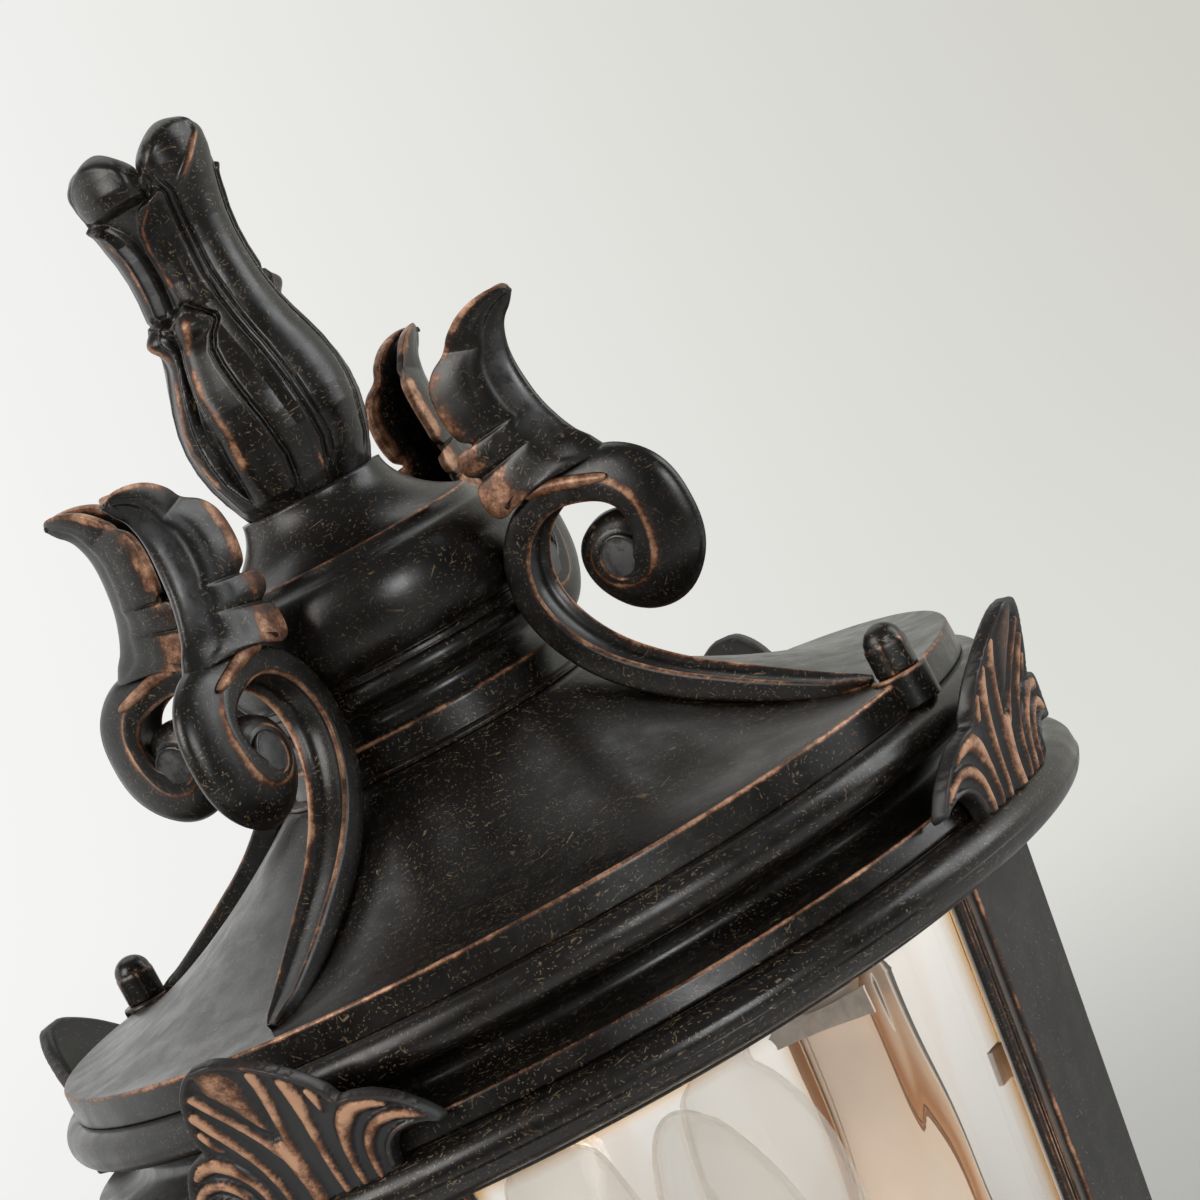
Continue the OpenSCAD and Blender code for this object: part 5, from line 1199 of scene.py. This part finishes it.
def camera_axes():
    forward = Vector((sin(PAN) * cos(TILT), cos(PAN) * cos(TILT), sin(TILT)))
    right = Vector((cos(PAN), -sin(PAN), 0))
    up = right.cross(forward)
    across = right * cos(ROLL) + up * sin(ROLL)
    upward = -right * sin(ROLL) + up * cos(ROLL)
    turn = Matrix.Rotation(VIEW_TURN, 3, "Z")
    return turn @ across, turn @ upward, turn @ forward, turn @ EYE_PLACE


ACROSS, UPWARD, FORWARD, EYE = camera_axes()

# The side of the studio that the lantern faces
FRONT = tuple(Matrix.Rotation(VIEW_TURN, 3, "Z") @ Vector((0, -1, 0)))


def backdrop_material():
    """Pale paper: lit near the object, and of its own even tone further off, a little darker to one side."""
    material, tree = new_material("backdrop")
    n = Nodes(tree)
    side = n.vector_math("DOT_PRODUCT", n.coords, tuple(Vector((ACROSS.x, ACROSS.y, 0)).normalized()))
    tone = n.mix(n.between(side, -1.6, 1.5), (0.945, 0.945, 0.94), (0.6, 0.6, 0.545))
    paper = n.add("BsdfDiffuse")
    n.link(n.mix(n.noise(1.5, 3), (0.8, 0.8, 0.79), (0.84, 0.84, 0.83)), paper.inputs["Color"])
    glow = n.add("Emission")
    path = n.add("LightPath")
    # the studio's front side is darker, which only reflections show
    front = n.between(n.vector_math("DOT_PRODUCT", n.coords, FRONT), -1, 1)
    darkened = n.times(n.times(front, path.outputs["Is Glossy Ray"]), 0.93)
    # behind the lantern's glass the paper is lit more evenly, which the glass shows
    tone = n.mix(n.times(path.outputs["Is Transmission Ray"], 0.85), tone, (0.98, 0.965, 0.94))
    n.link(n.mix(darkened, tone, (0.02, 0.02, 0.02)), glow.inputs["Color"])
    seen = n.math("ADD", n.plus(path.outputs["Is Camera Ray"], path.outputs["Is Glossy Ray"]),
                  path.outputs["Is Transmission Ray"], clamp=True)
    far = n.between(n.vector_math("LENGTH", n.coords), 0.5, 2.2)
    mixed = n.add("MixShader")
    n.link(n.times(seen, far), mixed.inputs[0])
    n.link(paper.outputs[0], mixed.inputs[1])
    n.link(glow.outputs[0], mixed.inputs[2])
    n.output(mixed.outputs[0])
    return material


def build_stage():
    """A round floor that bends up into a wall, in metres."""
    reach, bend = 4.2, 1.6
    curve = [(reach + bend * sin(a), bend - bend * cos(a)) for a in np.linspace(0, pi / 2, 12)]
    outline = np.array([(0, 0), (0.4, 0), (1, 0), (2, 0), (3.2, 0), *curve,
                        (reach + bend, 3), (reach + bend, 4.6)])
    turn = full_turn(96)
    piece = mesh_object("backdrop", on_circle(outline[:, :1], outline[:, 1:], turn),
                        grid_faces(len(outline), len(turn), True), backdrop_material())


def add_light(name, kind, place, power, colour):
    light = bpy.data.lights.new(name, kind)
    light.energy = power
    light.color = colour
    lamp = bpy.data.objects.new(name, light)
    bpy.context.scene.collection.objects.link(lamp)
    lamp.location = place
    return lamp


def area_light(name, place, aim, width, height, power, colour=(1, 1, 1)):
    lamp = add_light(name, "AREA", place, power, colour)
    lamp.data.shape = "RECTANGLE"
    lamp.data.size, lamp.data.size_y = width, height
    lamp.rotation_euler = (Vector(aim) - Vector(place)).to_track_quat("-Z", "Y").to_euler()


def cage_light():
    """Studio light that has bounced about inside the cage: it lights the inner faces, and isn't seen."""
    lamp = add_light("cage_light", "POINT", (0, 0, (CAGE + CORNICE) / 2 * MM), 0.22, (1, 0.95, 0.88))
    lamp.data.shadow_soft_size = 0.02
    lamp.visible_camera = lamp.visible_glossy = lamp.visible_transmission = False


def build_light():
    world = bpy.data.worlds.new("world")
    bpy.context.scene.world = world
    world.use_nodes = True
    background = world.node_tree.nodes["Background"]
    background.inputs["Color"].default_value = (1, 0.99, 0.98, 1)
    background.inputs["Strength"].default_value = 0.16
    aim = (0, 0, 0.45)
    area_light("key_left", (-1.35, -0.55, 1.35), aim, 0.9, 1.1, 15, (1, 0.97, 0.925))
    area_light("front_strip", (0.28, -1.58, 0.78), (0, 0, 0.55), 0.3, 0.6, 6)
    cage_light()
    area_light("fill_right", (1.45, -0.35, 0.95), aim, 0.7, 1.3, 9, (0.96, 0.98, 1))
    area_light("top", (0.15, 0.75, 1.75), aim, 1.2, 0.9, 3.5)


def build_camera():
    data = bpy.data.cameras.new("camera")
    data.lens = 135
    data.sensor_width = 36
    data.clip_start = 0.02
    data.clip_end = 60
    camera = bpy.data.objects.new("camera", data)
    bpy.context.scene.collection.objects.link(camera)
    place = EYE + Vector((0, 0, EDGE * MM))
    rows = Matrix((ACROSS, UPWARD, -FORWARD)).transposed().to_4x4()
    camera.matrix_world = Matrix.Translation(place) @ rows
    bpy.context.scene.camera = camera


build_stage()
build_light()
build_camera()
bpy.context.scene.view_settings.view_transform = "Standard"

# The CAD nodes that stay, each with its own finish
SLOT_MATERIALS = {
    "bronze_finish": BRONZE, "worn_bronze": WORN_WITH_HIGHLIGHTS, "nut_bronze": NUT_BRONZE, "plated_steel": STEEL,
    "champagne_glass": CHAMPAGNE, "lampholder": LAMPHOLDER, "ivory_sleeve": IVORY, "bulb_glass": BULB
}
NODE_SLOT = {row["node"]: row["material_slot"] for row in frame["record"]["subparts"]}
TURNED_BASE = ("pedestal_foot", "pedestal_stem", "lower_bowl", "lower_ring")
for node_name, node in frame["nodes"].items():
    node.data.materials.clear()
    finish = BASE_BRONZE if node_name in TURNED_BASE else SLOT_MATERIALS[NODE_SLOT[node_name]]
    node.data.materials.append(finish)
